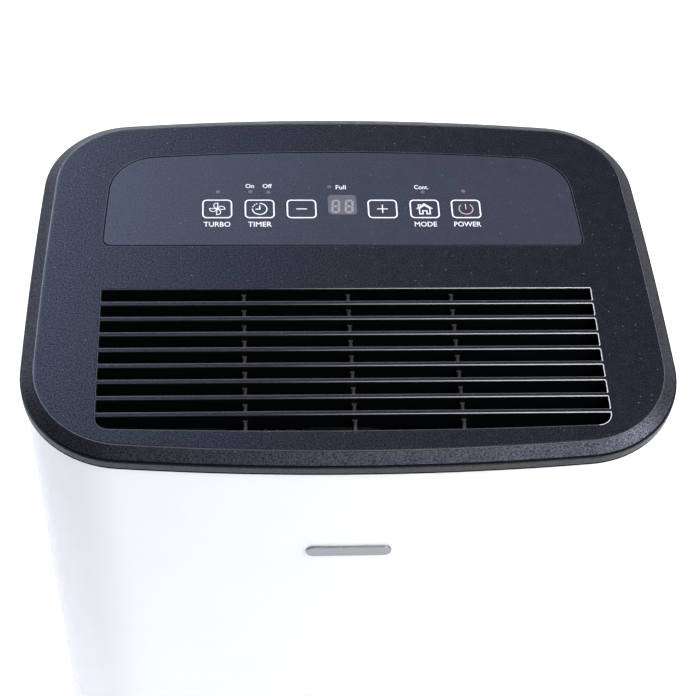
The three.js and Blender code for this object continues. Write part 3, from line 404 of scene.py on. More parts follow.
# ------ materials
# the sizes of the surface patterns in mm, and the noise values between which each fades in
PATCH_SIZE, GLOSS_SIZE, SPECK_SIZE, DUST_SIZE, GLINT_SIZE = 38.0, 6.0, 0.5, 0.8, 0.85
EVEN_FADE, SPECK_FADE, DUST_FADE, GLINT_FADE = (0.3, 0.7), (0.66, 0.78), (0.855, 0.885), (0.35, 0.65)
WEAR_FADE = (0.52, 0.6)  # pointiness of the worn edges
HIGHLIGHT_FADE_ALONG_X = (-0.045, 0.134)  # metres along X over which the back edges' painted highlight turns from grey to white
DUST_COLOUR = (0.3, 0.3, 0.32)
COAT_ROUGHNESS = 0.08


def set_sockets(node, values):
    for socket, value in values.items():
        node.inputs[socket].default_value = value


def material(name, colour, roughness, metallic=0.0, grain=0.0, grain_size=0.6, mottle=0.04, streak=None,
             specks=0.0, coat=0.0, specular=0.5, tint=(1, 1, 1), wear=0.0, sparkle=0.0, dust=0.0,
             across=None):
    """A moulded, painted or drawn surface: fine relief, slight mottling in tone and gloss, and worn edges.
    grain is the relief's depth in mm and grain_size its spacing in mm."""
    mat = bpy.data.materials.new(name)
    mat.use_nodes = True
    tree = mat.node_tree
    shader = tree.nodes["Principled BSDF"]
    set_sockets(shader, {"Metallic": metallic, "Coat Weight": coat, "Coat Roughness": COAT_ROUGHNESS,
                         "Specular Tint": (*tint, 1), "Specular IOR Level": specular})
    link = tree.links.new
    place = tree.nodes.new("ShaderNodeTexCoord").outputs["Object"]

    def noise(size, detail=3.0, stretch=None):
        vector = place
        if stretch:
            mapping = tree.nodes.new("ShaderNodeMapping")
            mapping.inputs["Scale"].default_value = stretch
            link(place, mapping.inputs["Vector"])
            vector = mapping.outputs["Vector"]
        node = tree.nodes.new("ShaderNodeTexNoise")
        set_sockets(node, {"Scale": 1.0 / (size * MM), "Detail": detail})
        link(vector, node.inputs["Vector"])
        return node.outputs["Fac"]

    def ramp(value, low, high, fade=EVEN_FADE):
        node = tree.nodes.new("ShaderNodeMapRange")
        set_sockets(node, {"From Min": fade[0], "From Max": fade[1], "To Min": low, "To Max": high})
        link(value, node.inputs["Value"])
        return node.outputs["Result"]

    def mix(factor, a, b, blend="MIX"):
        node = tree.nodes.new("ShaderNodeMix")
        node.data_type = "RGBA"
        node.blend_type = blend
        link(factor, node.inputs["Factor"])
        for socket, value in ((node.inputs["A"], a), (node.inputs["B"], b)):
            if isinstance(value, tuple):
                socket.default_value = (*value, 1.0)
            else:
                link(value, socket)
        return node.outputs["Result"]

    def toned(factor, lift=0.0):
        return tuple(min(1.0, c * factor + lift) for c in colour)

    shown = mix(ramp(noise(PATCH_SIZE, 2.0), 0.0, 1.0), toned(1 - mottle), toned(1 + mottle))
    if streak:
        shown = mix(ramp(noise(1.0, 4.0, stretch=streak), 0.0, 0.5), shown, toned(0.7))
    if specks:
        shown = mix(ramp(noise(SPECK_SIZE, 0.0), 0.0, specks, SPECK_FADE), shown, toned(2.2, 0.03))
    if dust:
        shown = mix(ramp(noise(DUST_SIZE, 0.0), 0.0, dust, DUST_FADE), shown, DUST_COLOUR)
    # across lightens the colour towards +X: a painted highlight, used on the slots' back edges
    if across:
        split = tree.nodes.new("ShaderNodeSeparateXYZ")
        link(place, split.inputs[0])
        shown = mix(ramp(split.outputs["X"], 0.0, 1.0, HIGHLIGHT_FADE_ALONG_X), shown, across)
    if wear:
        pointed = tree.nodes.new("ShaderNodeNewGeometry").outputs["Pointiness"]
        shown = mix(ramp(pointed, 0.0, wear, WEAR_FADE), shown, toned(1.6, 0.02))
    link(shown, shader.inputs["Base Color"])
    if sparkle:
        shine = ramp(noise(GLINT_SIZE, 2.0), specular * (1 - sparkle), specular * (1 + sparkle), GLINT_FADE)
        link(shine, shader.inputs["Specular IOR Level"])
    gloss = ramp(noise(GLOSS_SIZE, 3.0), roughness * 0.9, min(1.0, roughness * 1.12))
    link(gloss, shader.inputs["Roughness"])
    if grain:
        bump = tree.nodes.new("ShaderNodeBump")
        set_sockets(bump, {"Distance": grain * MM, "Strength": 1.0})
        link(noise(grain_size, 2.0), bump.inputs["Height"])
        link(bump.outputs["Normal"], shader.inputs["Normal"])
    return mat


COVER = material("charcoal_moulding", (0.0065, 0.0069, 0.0095), 0.41, grain=0.07, grain_size=0.7,
                 mottle=0.08, specks=0.4, tint=(0.72, 0.78, 1.0), sparkle=0.65, dust=0.8)
# a darker copy of the moulding's finish for the lip; its darker colour is painted shade
LIP = material("charcoal_lip_painted_shade", (0.0055, 0.0058, 0.0072), 0.42, grain=0.03, grain_size=0.7, mottle=0.08,
               specular=0.43, tint=(0.85, 0.88, 1.0), sparkle=0.3)
# near black, darker than the moulding: painted shade inside the grille's slots
BLADE = material("blades_painted_shade", (0.0012, 0.0018, 0.0026), 0.5, grain=0.03, grain_size=0.7, specular=0.14)
# the light colour of the beads along the slots' front edges and round the panel's recess is a painted
# highlight
EDGE = material("painted_highlight_beads", (0.085, 0.087, 0.098), 0.3, grain=0.01, mottle=0.2)
# the slots' back edges: a painted highlight that grows lighter towards the right
LIT_EDGE = material("back_edges_painted_highlight", (0.04, 0.042, 0.05), 0.3, grain=0.01, mottle=0.2,
                    across=(0.95, 0.95, 0.95))
# a glossy bead whose sheen is real reflection; its colour, lighter than the moulding's, is a painted
# highlight
CREASE = material("crease_bead_partly_painted_highlight", (0.05, 0.05, 0.055), 0.24, grain=0.02, grain_size=0.9, mottle=0.25,
                  specular=1.0)
# black with no sheen: painted shadow at the lip's foot
SHADE = material("painted_shadow_strip", (0.0012, 0.0012, 0.0012), 0.8, grain=0.02, grain_size=0.7, specular=0.0)
# lighter than the moulding: a painted highlight on the ribs and their webs
RIB = material("ribs_painted_highlight", (0.035, 0.035, 0.042), 0.4, grain=0.04, grain_size=0.9, sparkle=0.4)
FILM = material("panel_film", (0.034, 0.037, 0.053), 0.42, grain=0.02, grain_size=0.7, mottle=0.05,
                specks=0.3, tint=(0.75, 0.8, 1.0), sparkle=0.5, dust=0.7)
LENS = material("display_window", (0.15, 0.144, 0.168), 0.22, grain=0.004, mottle=0.08)
DIGITS = material("display_digits", (0.34, 0.33, 0.35), 0.35, mottle=0.1)
PRINT = material("panel_print", (0.9, 0.9, 0.93), 0.45, grain=0.01, grain_size=0.3, mottle=0.03)
RED_PRINT = material("panel_print_red", (0.75, 0.5, 0.48), 0.45, grain=0.01, grain_size=0.3, mottle=0.05)
LED = material("indicator_dot", (0.15, 0.152, 0.175), 0.3, mottle=0.1)
WHITE = material("white_casing", (0.86, 0.86, 0.875), 0.17, grain=0.006, grain_size=2.4, mottle=0.006,
                 coat=0.25)
BADGE = material("badge_metal", (0.3, 0.31, 0.33), 0.3, metallic=0.9, grain=0.01, grain_size=0.4,
                 streak=(0.02, 1, 1))
GREY = material("grey_plastic", (0.24, 0.26, 0.285), 0.45, grain=0.03, grain_size=0.7, wear=0.5)
CHASSIS = material("chassis_plastic", (0.055, 0.058, 0.066), 0.55, grain=0.04, grain_size=0.8, wear=0.4)
DUCT = material("duct_plastic", (0.006, 0.006, 0.008), 0.75, grain=0.04, grain_size=0.8)
RUBBER = material("black_rubber", (0.02, 0.02, 0.022), 0.7, grain=0.05, grain_size=0.5, wear=0.6)
TANK = material("tank_plastic", (0.5, 0.54, 0.57), 0.3, grain=0.008, grain_size=1.2, mottle=0.03)
SMOKE = material("level_window", (0.03, 0.034, 0.042), 0.1, grain=0.003, coat=0.3)
FOAM = material("float_foam", (0.78, 0.74, 0.64), 0.9, grain=0.25, grain_size=1.3, mottle=0.08)
NYLON = material("filter_nylon", (0.028, 0.028, 0.032), 0.6, grain=0.02, grain_size=0.3)
FINS = material("aluminium_fins", (0.62, 0.64, 0.66), 0.36, metallic=1.0, grain=0.02, grain_size=1.0,
                mottle=0.1)
COPPER = material("copper_tube", (0.62, 0.29, 0.15), 0.3, metallic=1.0, grain=0.01, streak=(1, 1, 0.05),
                  mottle=0.15)
PAINTED = material("compressor_paint", (0.014, 0.014, 0.016), 0.32, grain=0.03, grain_size=1.5, wear=0.5,
                   coat=0.2)
STEEL = material("zinc_steel", (0.52, 0.53, 0.55), 0.34, metallic=1.0, grain=0.01, grain_size=0.6,
                 streak=(1, 1, 0.04))
BOARD = material("circuit_board", (0.015, 0.11, 0.045), 0.35, grain=0.02, grain_size=0.9, mottle=0.2,
                 coat=0.3)


# ------ top cover
GRILLE_SLOTS = slot_outlines()
UNDER_Z = HEIGHT - 3.5
FRONT_EDGE, BACK_EDGE, PANEL_EDGE = 0.3, 0.36, 0.5  # widths of the bright beads, whose light colours are painted highlights
OVERLAP = 0.04  # how far the blades stand out of the moulding's walls


def hole_walls(shape, outlines, top, bottom, radius, steps):
    """The rounded walls of holes; returns their upper and their lower loops."""
    uppers, lowers = [], []
    for outline in outlines:
        levels = [(offset(outline, inset), z) for inset, z in rounded(bottom, top, radius, 0, steps)]
        rings = shape.loft([(list(reversed(points)), z) for points, z in levels], close=False)
        uppers.append(rings[-1])
        lowers.append(rings[0])
    return uppers, lowers


def key_outline(x, grow=0.0, corner=0.0, steps=6):
    """A button's outline, wider and deeper by grow, with its corner radius changed by corner."""
    return round_rect((x, BUTTON_Y), BUTTON_W + grow, BUTTON_D + grow, BUTTON_CORNER + corner, steps)


def rim_profile():
    """(inset, height) of the cover's edge from the groove over the lip, up the bevel to the flat top."""
    groove = ((WALL, 0), (1.9, 0), (1.9, 0.85), (1.35, 0.9), (1.12, 1.02), (1.2, 1.2))
    levels = [(inset, LIP_TOP + rise) for inset, rise in groove]
    blend = 1.1
    start = (BEVEL_REACH - blend, HEIGHT - blend * BEVEL_DROP / BEVEL_REACH)
    return levels + curve(start, (BEVEL_REACH, HEIGHT), (BEVEL_REACH + blend, HEIGHT), 6, True)


def cover_lip():
    """The band that hangs over the casing's top edge, and a dark strip at its foot that is a painted shadow
    of the gap under the lip.
    """
    foot = HEIGHT - LIP_DROP
    make("cover_lip", band(rounded(foot + SHADOW_STRIP, LIP_TOP, 0.5, 0.35, 4)), LIP, smooth=40)
    strip = band([(inset + 0.08, z) for inset, z in rounded(foot, foot + SHADOW_STRIP, 0, 0.25)])
    make("lip_painted_shadow", strip, SHADE, smooth=40)


def band(levels):
    """A closed ring along the casing's edge, from its outer levels back to the wall's inner side."""
    shape = Shape()
    rings = shape.loft([(plan(inset), z) for inset, z in levels], close=False)
    inner = shape.loft([(plan(WALL), levels[0][1]), (plan(WALL), levels[-1][1])], close=False)
    shape.bridge(inner[0], rings[0])
    shape.bridge(rings[-1], inner[-1])
    return shape


def cover_moulding():
    shape = Shape()
    outer = shape.loft([(plan(inset), z) for inset, z in rim_profile()], close=False)
    inner = shape.loft([(plan(WALL), LIP_TOP), (plan(WALL + 0.3), LIP_TOP + 0.2),
                        (plan(BEVEL_REACH + WALL), UNDER_Z)], close=False)
    slots, slots_under = hole_walls(shape, GRILLE_SLOTS, HEIGHT, UNDER_Z, 1.0, 5)
    recess, floor = hole_walls(shape, [panel_outline()], HEIGHT, HEIGHT - RECESS_DEPTH, 0.45, 3)
    wells, wells_under = hole_walls(shape, [key_outline(x, 0.7, 0.3) for x in BUTTON_X.values()],
                                    HEIGHT - RECESS_DEPTH, UNDER_Z, 0.1, 2)
    shape.fill([outer[-1]] + slots + recess)
    shape.fill(floor + wells)
    shape.fill([inner[-1]] + slots_under + wells_under)
    bmesh.ops.remove_doubles(shape.bm, verts=shape.bm.verts, dist=0.001)
    make("cover_moulding", shape, COVER, replaces=["top_cover"], smooth=40)


def grille_blades():
    """The bars below their rounded tops, and the four walls of the grille's shaft, in a near-black finish
    that is painted shade inside the slots.
    """
    shape = Shape()
    z = (HEIGHT - BAR_DEPTH, HEIGHT - 1.1)
    for i in range(BAR_COUNT):
        y = FIRST_BAR_Y - i * SLOT_PITCH
        shape.box((-GRILLE_HALF - 1, GRILLE_HALF + 1),
                  (y - BAR_WIDTH / 2 - OVERLAP, y + BAR_WIDTH / 2 + OVERLAP), z, 0.2)
    for y in (GRILLE_BACK_Y - OVERLAP, GRILLE_FRONT_Y - 2):
        shape.box((-GRILLE_HALF - 2, GRILLE_HALF + 2), (y, y + 2), z, 0.2)
    for side in (-1, 1):
        ends = sorted((side * (GRILLE_HALF - OVERLAP), side * (GRILLE_HALF + 2)))
        shape.box(ends, (GRILLE_FRONT_Y - 2, GRILLE_BACK_Y + 2), z, 0.2)
    make("grille_blades", shape, BLADE)


def bright_edges():
    """The beads along the slots' edges and round the panel's recess, whose light colours are painted
    highlights, and the glossy bead along the rim's crease, whose lighter colour is partly a painted
    highlight.
    """
    front, back, crease = Shape(), Shape(), Shape()
    span = (HEIGHT - 0.5, HEIGHT - 0.14)
    for outline in GRILLE_SLOTS:
        points = offset(outline, 0.32)
        back_y = max(y for x, y in points)
        first = next(i for i, (x, y) in enumerate(points) if x > GRILLE_HALF - GRILLE_CORNER)
        last = max(i for i, (x, y) in enumerate(points) if y > back_y - 0.5)
        back.stroke(points[first:last + 1], BACK_EDGE, *span)
        front.stroke(points[last:] + points[:first + 1], FRONT_EDGE, *span)
    front.stroke(offset(panel_outline(), 0.4), PANEL_EDGE, HEIGHT - 0.35, HEIGHT - 0.02, closed=True)
    crease.stroke(plan(BEVEL_REACH - 0.1), CREASE_WIDTH, HEIGHT - 0.7, HEIGHT - 0.04, closed=True)
    make("grille_front_edges", front, EDGE, bevel=0.08)
    make("cover_crease", crease, CREASE, bevel=0.2)
    make("grille_back_edges", back, LIT_EDGE, bevel=0.08)


def grille_ribs():
    """The cross ribs under the bars, and a short web of each at the back of every slot; their colour, lighter
    than the moulding's, is a painted highlight that shows the webs as bright dashes.
    """
    shape = Shape(FACING_Y)
    top = HEIGHT - RIB_DROP
    places = (-RIB_X, 0, RIB_X)
    for x in places:
        outline = round_rect((x, top - RIB_DEPTH / 2), RIB_WIDTH, RIB_DEPTH, RIB_WIDTH / 2 - 0.1, 4)
        shape.prism(outline, GRILLE_FRONT_Y - 1, GRILLE_BACK_Y + 1)
    for slot in GRILLE_SLOTS:
        back = max(y for x, y in slot)
        for x in places:
            shape.box((x - 1.3, x + 1.3), (top - 0.4, top + 0.3), (back - 1.1, back - 0.05), 0.15)
    make("grille_ribs", shape, RIB)


# ------ control panel
def control_film():
    shape = Shape()
    under = HEIGHT - 0.5
    levels = rounded(under, FILM_TOP, 0.25)
    outer = shape.loft([(offset(panel_outline(0.6), -inset), z) for inset, z in levels], close=False)
    holes = [key_outline(x, 0.5, 0.2) for x in BUTTON_X.values()]
    holes.append(round_rect((WINDOW_X, WINDOW_Y), WINDOW_W, WINDOW_D, 2.6))
    uppers, lowers = hole_walls(shape, holes, FILM_TOP, under, 0.08, 2)
    shape.fill([outer[-1]] + uppers)
    shape.fill([outer[0]] + lowers)
    make("panel_film", shape, FILM, replaces=["control_overlay"], smooth=40)


def display_window():
    outline = round_rect((WINDOW_X, WINDOW_Y), WINDOW_W - 0.3, WINDOW_D - 0.3, 2.5)
    make("display_glass", Shape().prism(outline, HEIGHT - 0.5, FILM_TOP, 0.1), LENS,
         replaces=["display_lens"])


SEGMENT_W, SEGMENT_H, SEGMENT_LEAN = 5.0, 10.0, 0.06


def ghost_digits():
    """The two unlit figures that show faintly through the window."""
    shape = Shape()
    thick = 1.4
    for centre in (WINDOW_X - 3.75, WINDOW_X + 3.9):
        x0, x1 = centre - SEGMENT_W / 2 + thick / 2, centre + SEGMENT_W / 2 - thick / 2
        low, high = WINDOW_Y - 1.4 - SEGMENT_H / 2 + thick / 2, WINDOW_Y - 1.4 + SEGMENT_H / 2 - thick / 2
        middle = (low + high) / 2
        space = 0.2
        lines = [((x0 + space, y), (x1 - space, y)) for y in (low, middle, high)]
        for x in (x0, x1):
            lines += [((x, low + space), (x, middle - space)), ((x, middle + space), (x, high - space))]
        for a, b in lines:
            leaned = [(x + (y - middle) * SEGMENT_LEAN, y) for x, y in (a, b)]
            shape.stroke(leaned, thick, HEIGHT - 0.2, HEIGHT - 0.015)
    make("display_figures", shape, DIGITS)


def curve(start, control, end, steps, with_end=False):
    """Points of a quadratic curve; its own end point is left out unless it is asked for."""
    points = []
    for k in range(steps + 1 if with_end else steps):
        t = k / steps
        points.append(tuple((1 - t) ** 2 * start[i] + 2 * t * (1 - t) * control[i] + t * t * end[i]
                            for i in (0, 1)))
    return points


def line(shape, centre, points, width, closed=False):
    """A printed line whose points count from the middle of its button."""
    shape.stroke([(centre[0] + x, centre[1] + y) for x, y in points], width, *PRINT_Z, closed=closed)


def propeller(shape, centre):
    """Four blades, each with a full leading edge and a straighter trailing edge."""
    root, side, tip = (-0.1, 0.35), (-1.95, 2.3), (0.3, 4.3)
    blade = (curve(root, (-1.9, 0.7), side, 6) + curve(side, (-1.9, 4.3), tip, 7)
             + curve(tip, (0.5, 2.4), root, 6))
    for quarter in range(4):
        cos, sin = math.cos(math.radians(90 * quarter)), math.sin(math.radians(90 * quarter))
        line(shape, centre, [(x * cos - y * sin, x * sin + y * cos) for x, y in reversed(blade)], 0.5, True)


def clock(shape, centre):
    """A dial open at the upper left, where dots carry it on, with two hands."""
    radius = 4.1
    shape.stroke(arc(centre, radius, math.radians(90), math.radians(-182), 28, True), 0.66, *PRINT_Z)
    for degrees in (156, 134, 113):
        at = arc(centre, radius, math.radians(degrees), 0, 1)[0]
        shape.prism(circle(at, 0.45, 10), *PRINT_Z)
    line(shape, centre, [(0.1, 2.5), (0.1, -0.2), (-2.3, -0.2)], 0.7)


def house(shape, centre):
    line(shape, centre, [(-4.5, 0.1), (-0.1, 3.9), (4.5, 0.1)], 0.62)
    line(shape, centre, [(-3.0, -3.7), (-3.0, 0.35), (-0.1, 2.75), (3.0, 0.35), (3.0, -3.7), (1.15, -3.7),
                         (1.15, -1.4), (-1.15, -1.4), (-1.15, -3.7)], 0.75, True)
    line(shape, centre, [(-3.5, 1.5), (-3.5, 3.2), (-2.3, 3.2), (-2.3, 2.4)], 0.5)


def power_mark(shape, centre):
    shape.stroke(arc(centre, 3.95, math.radians(133), math.radians(412), 30, True), 0.5, *PRINT_Z)
    line(shape, centre, [(-0.1, 3.7), (0, -0.3)], 0.55)


def minus_mark(shape, centre):
    line(shape, centre, [(-3.1, 0), (3.1, 0)], 0.62)


def plus_mark(shape, centre):
    minus_mark(shape, centre)
    line(shape, centre, [(0, 3.1), (0, 0.31)], 0.62)
    line(shape, centre, [(0, -0.31), (0, -3.1)], 0.62)


ICONS = {"turbo": propeller, "timer": clock, "minus": minus_mark, "plus": plus_mark, "mode": house,
         "power": power_mark}


def button(name, x):
    body = f"button_{name}"
    pad = Shape().prism(key_outline(x), HEIGHT - 6, FILM_TOP, 0.15)
    pad.prism(key_outline(x, 2.2), HEIGHT - 5.3, HEIGHT - 3.9, 0.2, 0.2)
    make(f"key_{name}", pad, FILM, body, replaces=[body])
    ring = Shape().stroke(key_outline(x, -1.1, -0.3, 8), 0.85, *PRINT_Z, closed=True)
    mark = Shape() if name == "power" else ring
    ICONS[name](mark, (x, BUTTON_Y))
    make(f"print_{name}", ring, PRINT, body)
    if mark is not ring:
        make("print_power_mark", mark, RED_PRINT, body)


WORDS = (  # text, middle, width, height of a capital
    ("TURBO", (-71.4, 36.9), 15.0, 3.6), ("TIMER", (-47.4, 36.9), 13.4, 3.6),
    ("MODE", (46.2, 36.9), 12.6, 3.6), ("POWER", (70.0, 36.9), 15.4, 3.6),
    ("On", (-52.8, 65.6), 4.9, 3.1), ("Off", (-42.8, 65.6), 5.3, 3.1),
    ("Full", (-0.8, 64.7), 5.8, 3.1), ("Cont.", (45.5, 64.8), 8.2, 3.1))
DOTS = ((-71.0, 61.2), (-52.4, 61.3), (-42.3, 60.9), (-7.4, 65.0), (46.1, 61.1), (69.6, 61.8))


def panel_words():
    """Plain function words beside the buttons, each stretched to its place."""
    shape = Shape()
    for text, middle, width, height in WORDS:
        font = bpy.data.curves.new("word", "FONT")
        font.body = text
        font.offset = 0.013
        font.extrude = 0.01
        font.resolution_u = 3
        source = add_object("word", font)
        mesh = evaluated_mesh(source)
        bpy.data.objects.remove(source)
        xs = [v.co.x for v in mesh.vertices]
        ys = [v.co.y for v in mesh.vertices]
        grow = Vector((width / (max(xs) - min(xs)), height / (max(ys) - min(ys)), 1))
        base = Vector(((max(xs) + min(xs)) / 2, (max(ys) + min(ys)) / 2, 0))
        for vert in mesh.vertices:
            flat = (vert.co - base) * grow
            vert.co = (middle[0] + flat.x, middle[1] + flat.y, PRINT_Z[1] if vert.co.z > 0 else PRINT_Z[0])
        shape.bm.from_mesh(mesh)
    make("print_words", shape, PRINT)
    dots = Shape()
    for at in DOTS:
        dots.prism(circle(at, 1.2, 20), *PRINT_Z)
    make("indicator_dots", dots, LED)


# ------ casing
def shell_ring(name, outer, inner, z0, z1):
    """A closed wall between two plan outlines."""
    shape = Shape()
    rings = [shape.ring(plan(outer), z0), shape.ring(plan(outer), z1),
             shape.ring(plan(inner), z1), shape.ring(plan(inner), z0)]
    for k in range(4):
        shape.bridge(rings[k], rings[(k + 1) % 4])
    return mesh_object(name, shape)


def slab(y0, y1, top=HEIGHT + 50):
    """A block right across the casing, for cuts."""
    return Shape().box((-WIDTH, WIDTH), (y0, y1), (0, top))


def hand_pocket(side, grow):
    """A rounded block for a grip recess in the left or right side."""
    inner = WIDTH / 2 - BODY_INSET - HAND_DEPTH
    span = sorted((side * (inner - grow), side * (WIDTH / 2 + 5)))
    middle = ((HAND_Y0 + HAND_Y1) / 2, (HAND_Z0 + HAND_Z1) / 2)
    width, height = HAND_Y1 - HAND_Y0 + 2 * grow, HAND_Z1 - HAND_Z0 + 2 * grow
    return Shape(FACING_X).prism(round_rect(middle, width, height, 9 + grow, 5), *span)


def front_cover():
    cover = shell_ring("front_shell", BODY_INSET, INNER_INSET, BASE_Z, BODY_TOP_Z)
    for side in (-1, 1):
        liner = mesh_object("liner", hand_pocket(side, WALL))
        carve(liner, Shape().prism(plan(BODY_INSET), BASE_Z, BODY_TOP_Z), "INTERSECT")
        carve(cover, Shape().absorb(liner), "UNION")
        carve(cover, hand_pocket(side, 0))
    carve(cover, slab(SEAM_Y - GAP / 2, DEPTH))
    carve(cover, slab(-DEPTH, BUCKET_SIDE_Y + GAP, BUCKET_TOP_Z + GAP))
    finish_piece(cover, WHITE, "cabinet", replaces=["front_cover"], bevel=0.7, segments=3)


def rear_cover():
    cover = shell_ring("rear_shell", BODY_INSET, INNER_INSET, BASE_Z, BODY_TOP_Z)
    carve(cover, slab(-DEPTH, SEAM_Y + GAP / 2))
    cuts = Shape(FACING_Y)
    cuts.box((-INTAKE_HALF - GAP, INTAKE_HALF + GAP), (INTAKE_Z0 - GAP, INTAKE_Z1 + GAP), BACK_CUT)
    for i in range(6):
        cuts.prism(round_rect((-62, 92 + i * 13), 90, 6, 2.95), *BACK_CUT)
    cuts.prism(circle((DRAIN_X, DRAIN_Z), 9.3), *BACK_CUT)
    cuts.prism(circle((CORD_X, CORD_Z), 7.2), *BACK_CUT)
    for at in SCREWS.values():
        cuts.prism(circle(at, 2.4, 20), *BACK_CUT)
    carve(cover, cuts)
    finish_piece(cover, WHITE, "cabinet", replaces=["rear_cover"], bevel=0.6)


def badge():
    face = -DEPTH / 2 + BODY_INSET - GAP
    outline = round_rect((0, HEIGHT - 91), 47, 9, 4.4, 10)
    bar = Shape(FACING_Y).prism(outline, face - 0.8, face + 0.3, 0, 0.35)
    make("badge_bar", bar, BADGE, replaces=["blank_badge"])


def rear_face_y(x):
    return DEPTH / 2 - BODY_INSET - x * x / (2 * BACK_RADIUS)


def turned_y(x, z, face, profile, sides=48):
    """A turned part with its axis along Y; the profile's depths count from face."""
    turn = FACING_Y @ Matrix.Translation((x, z, 0))
    return Shape(turn).turned([(radius, face + depth) for radius, depth in profile], sides=sides)


def cover_screws():
    profile = ((0, -22), (2, -21.5), (2, 0), (3.9, 0), (4, 0.5), (3.6, 1.3), (2.4, 1.9), (0, 2.0))
    for name, (x, z) in SCREWS.items():
        face = rear_face_y(x) + 0.6
        screw = mesh_object(f"screw_{name}", turned_y(x, z, face, profile, 32))
        cross = Shape(FACING_Y)
        cross.box((x - 2.2, x + 2.2), (z - 0.45, z + 0.45), (face + 0.8, face + 4))
        cross.box((x - 0.45, x + 0.45), (z - 2.2, z + 2.2), (face + 0.8, face + 4))
        carve(screw, cross)
        finish_piece(screw, STEEL, "cabinet", replaces=[f"cover_screw_{name}"])


def rear_fittings():
    profile = ((4, -11.9), (6.8, -11.9), (6.8, 0), (9.9, 0), (10, 0.5), (9.4, 1.6), (7.4, 2), (5.2, 2),
               (4.2, 1.2), (4, -2), (4, -11.9))
    gland = turned_y(CORD_X, CORD_Z, rear_face_y(CORD_X) + 1, profile)
    make("gland_ring", gland, RUBBER, replaces=["cord_gland"])
    profile = ((0, 0.6), (4.8, 0.6), (4.8, -12), (5.6, -12), (5.9, -11), (5.6, -9), (6.0, -7), (5.6, -5),
               (6.0, -3), (6.0, 0), (11.6, 0), (12, 0.5), (11.8, 1.7), (10.8, 2.4), (8, 2.4), (7.4, 1.7),
               (0, 1.5))
    face = rear_face_y(DRAIN_X) + 1.4
    cap = turned_y(DRAIN_X, DRAIN_Z, face, profile, 56)
    cap.stroke([(-7, 0), (7, 0)], 2.4, face + 1.3, face + 2.35)
    make("drain_plug", cap, RUBBER, "drain_cap", replaces=["drain_cap"])


# ------ intake side
def intake_grille():
    grille = shell_ring("intake_shell", BODY_INSET, INNER_INSET, INTAKE_Z0, INTAKE_Z1)
    panel = Shape().box((-INTAKE_HALF, INTAKE_HALF), BACK_CUT, (INTAKE_Z0 - 5, INTAKE_Z1 + 5))
    carve(grille, panel, "INTERSECT")
    cuts = Shape(FACING_Y)
    for row in range(INTAKE_ROWS):
        z = INTAKE_Z0 + 10 + row * INTAKE_PITCH + INTAKE_SLOT / 2
        for column in (-1, 0, 1):
            cuts.prism(round_rect((column * 75, z), 69, INTAKE_SLOT, 3.2, 4), *BACK_CUT)
    cuts.prism(round_rect((0, INTAKE_Z1), 32, 6, 2.4, 4), *BACK_CUT)
    carve(grille, cuts)
    add_blocks(grille, [((side * 111 - 2.5, side * 111 + 2.5), (109.8, 115), (z - 3, z + 3))
                        for side in (-1, 1) for z in (INTAKE_Z0 + 12, INTAKE_Z1 - 12)])
    finish_piece(grille, WHITE, "intake_panel", replaces=["intake_grille"], bevel=0.5)


def filter_net():
    """A woven net: two sets of thin threads that cross."""
    half, z0, z1, y = 109.6, 250.4, 443.6, 108
    shape = Shape(FACING_Y)
    spacing, thread = 2.2, 0.32
    for i in range(int(2 * half / spacing)):
        x = -half + spacing * (i + 0.5)
        shape.box((x - thread / 2, x + thread / 2), (z0, z1), (y - 0.3, y))
    for i in range(int((z1 - z0) / spacing)):
        z = z0 + spacing * (i + 0.5)
        shape.box((-half, half), (z - thread / 2, z + thread / 2), (y - 0.05, y + 0.25))
    make("filter_net", shape, NYLON, "intake_panel", replaces=["filter_mesh"])


def coil(node, y0, y1):
    """A heat exchanger: thin fins between two end plates, with the tube's bends outside them."""
    half, z0, z1 = 122, 230.4, 438
    fins = Shape()
    pitch = 1.9
    for i in range(int(2 * half / pitch) - 1):
        x = -half + pitch * (i + 1)
        fins.box((x - 0.09, x + 0.09), (y0 + 0.4, y1 - 0.4), (z0 + 1, z1 - 1))
    for side in (-1, 1):
        fins.box(sorted((side * (half - 1.2), side * half)), (y0, y1), (z0, z1))
    make(f"{node}_fins", fins, FINS, replaces=[node])
    tubes = Shape(FACING_X)
    middle = (y0 + y1) / 2
    rows = [259 + i * 31 for i in range(6)]
    for z in rows:
        for height in (z - 7, z + 7):
            tubes.prism(circle((middle, height), 3, 16), -half - 0.5, half + 0.5)
    for side in (-1, 1):
        for z in rows:
            turn = [math.pi * k / 10 for k in range(11)]
            bend_tube(tubes, [(side * half + side * 4.9 * math.sin(a), middle, z - 7 * math.cos(a))
                              for a in turn], 3)
    make(f"{node}_tubes", tubes, COPPER)


def bend_tube(shape, path, radius, sides=16):
    """A round tube through points, added to a shape without its drawing turn."""
    points = [Vector(p) for p in path]
    rings = []
    for i, point in enumerate(points):
        ahead = (points[min(i + 1, len(points) - 1)] - points[max(i - 1, 0)]).normalized()
        across = Vector((0, 1, 0)).cross(ahead).normalized()
        other = ahead.cross(across)
        rings.append([shape.bm.verts.new(point + across * radius * math.cos(a) + other * radius * math.sin(a))
                      for a in [2 * math.pi * k / sides for k in range(sides)]])
    for low, high in zip(rings, rings[1:]):
        shape.bridge(low, high)
    shape.cap(rings[0], up=False)
    shape.cap(rings[-1])


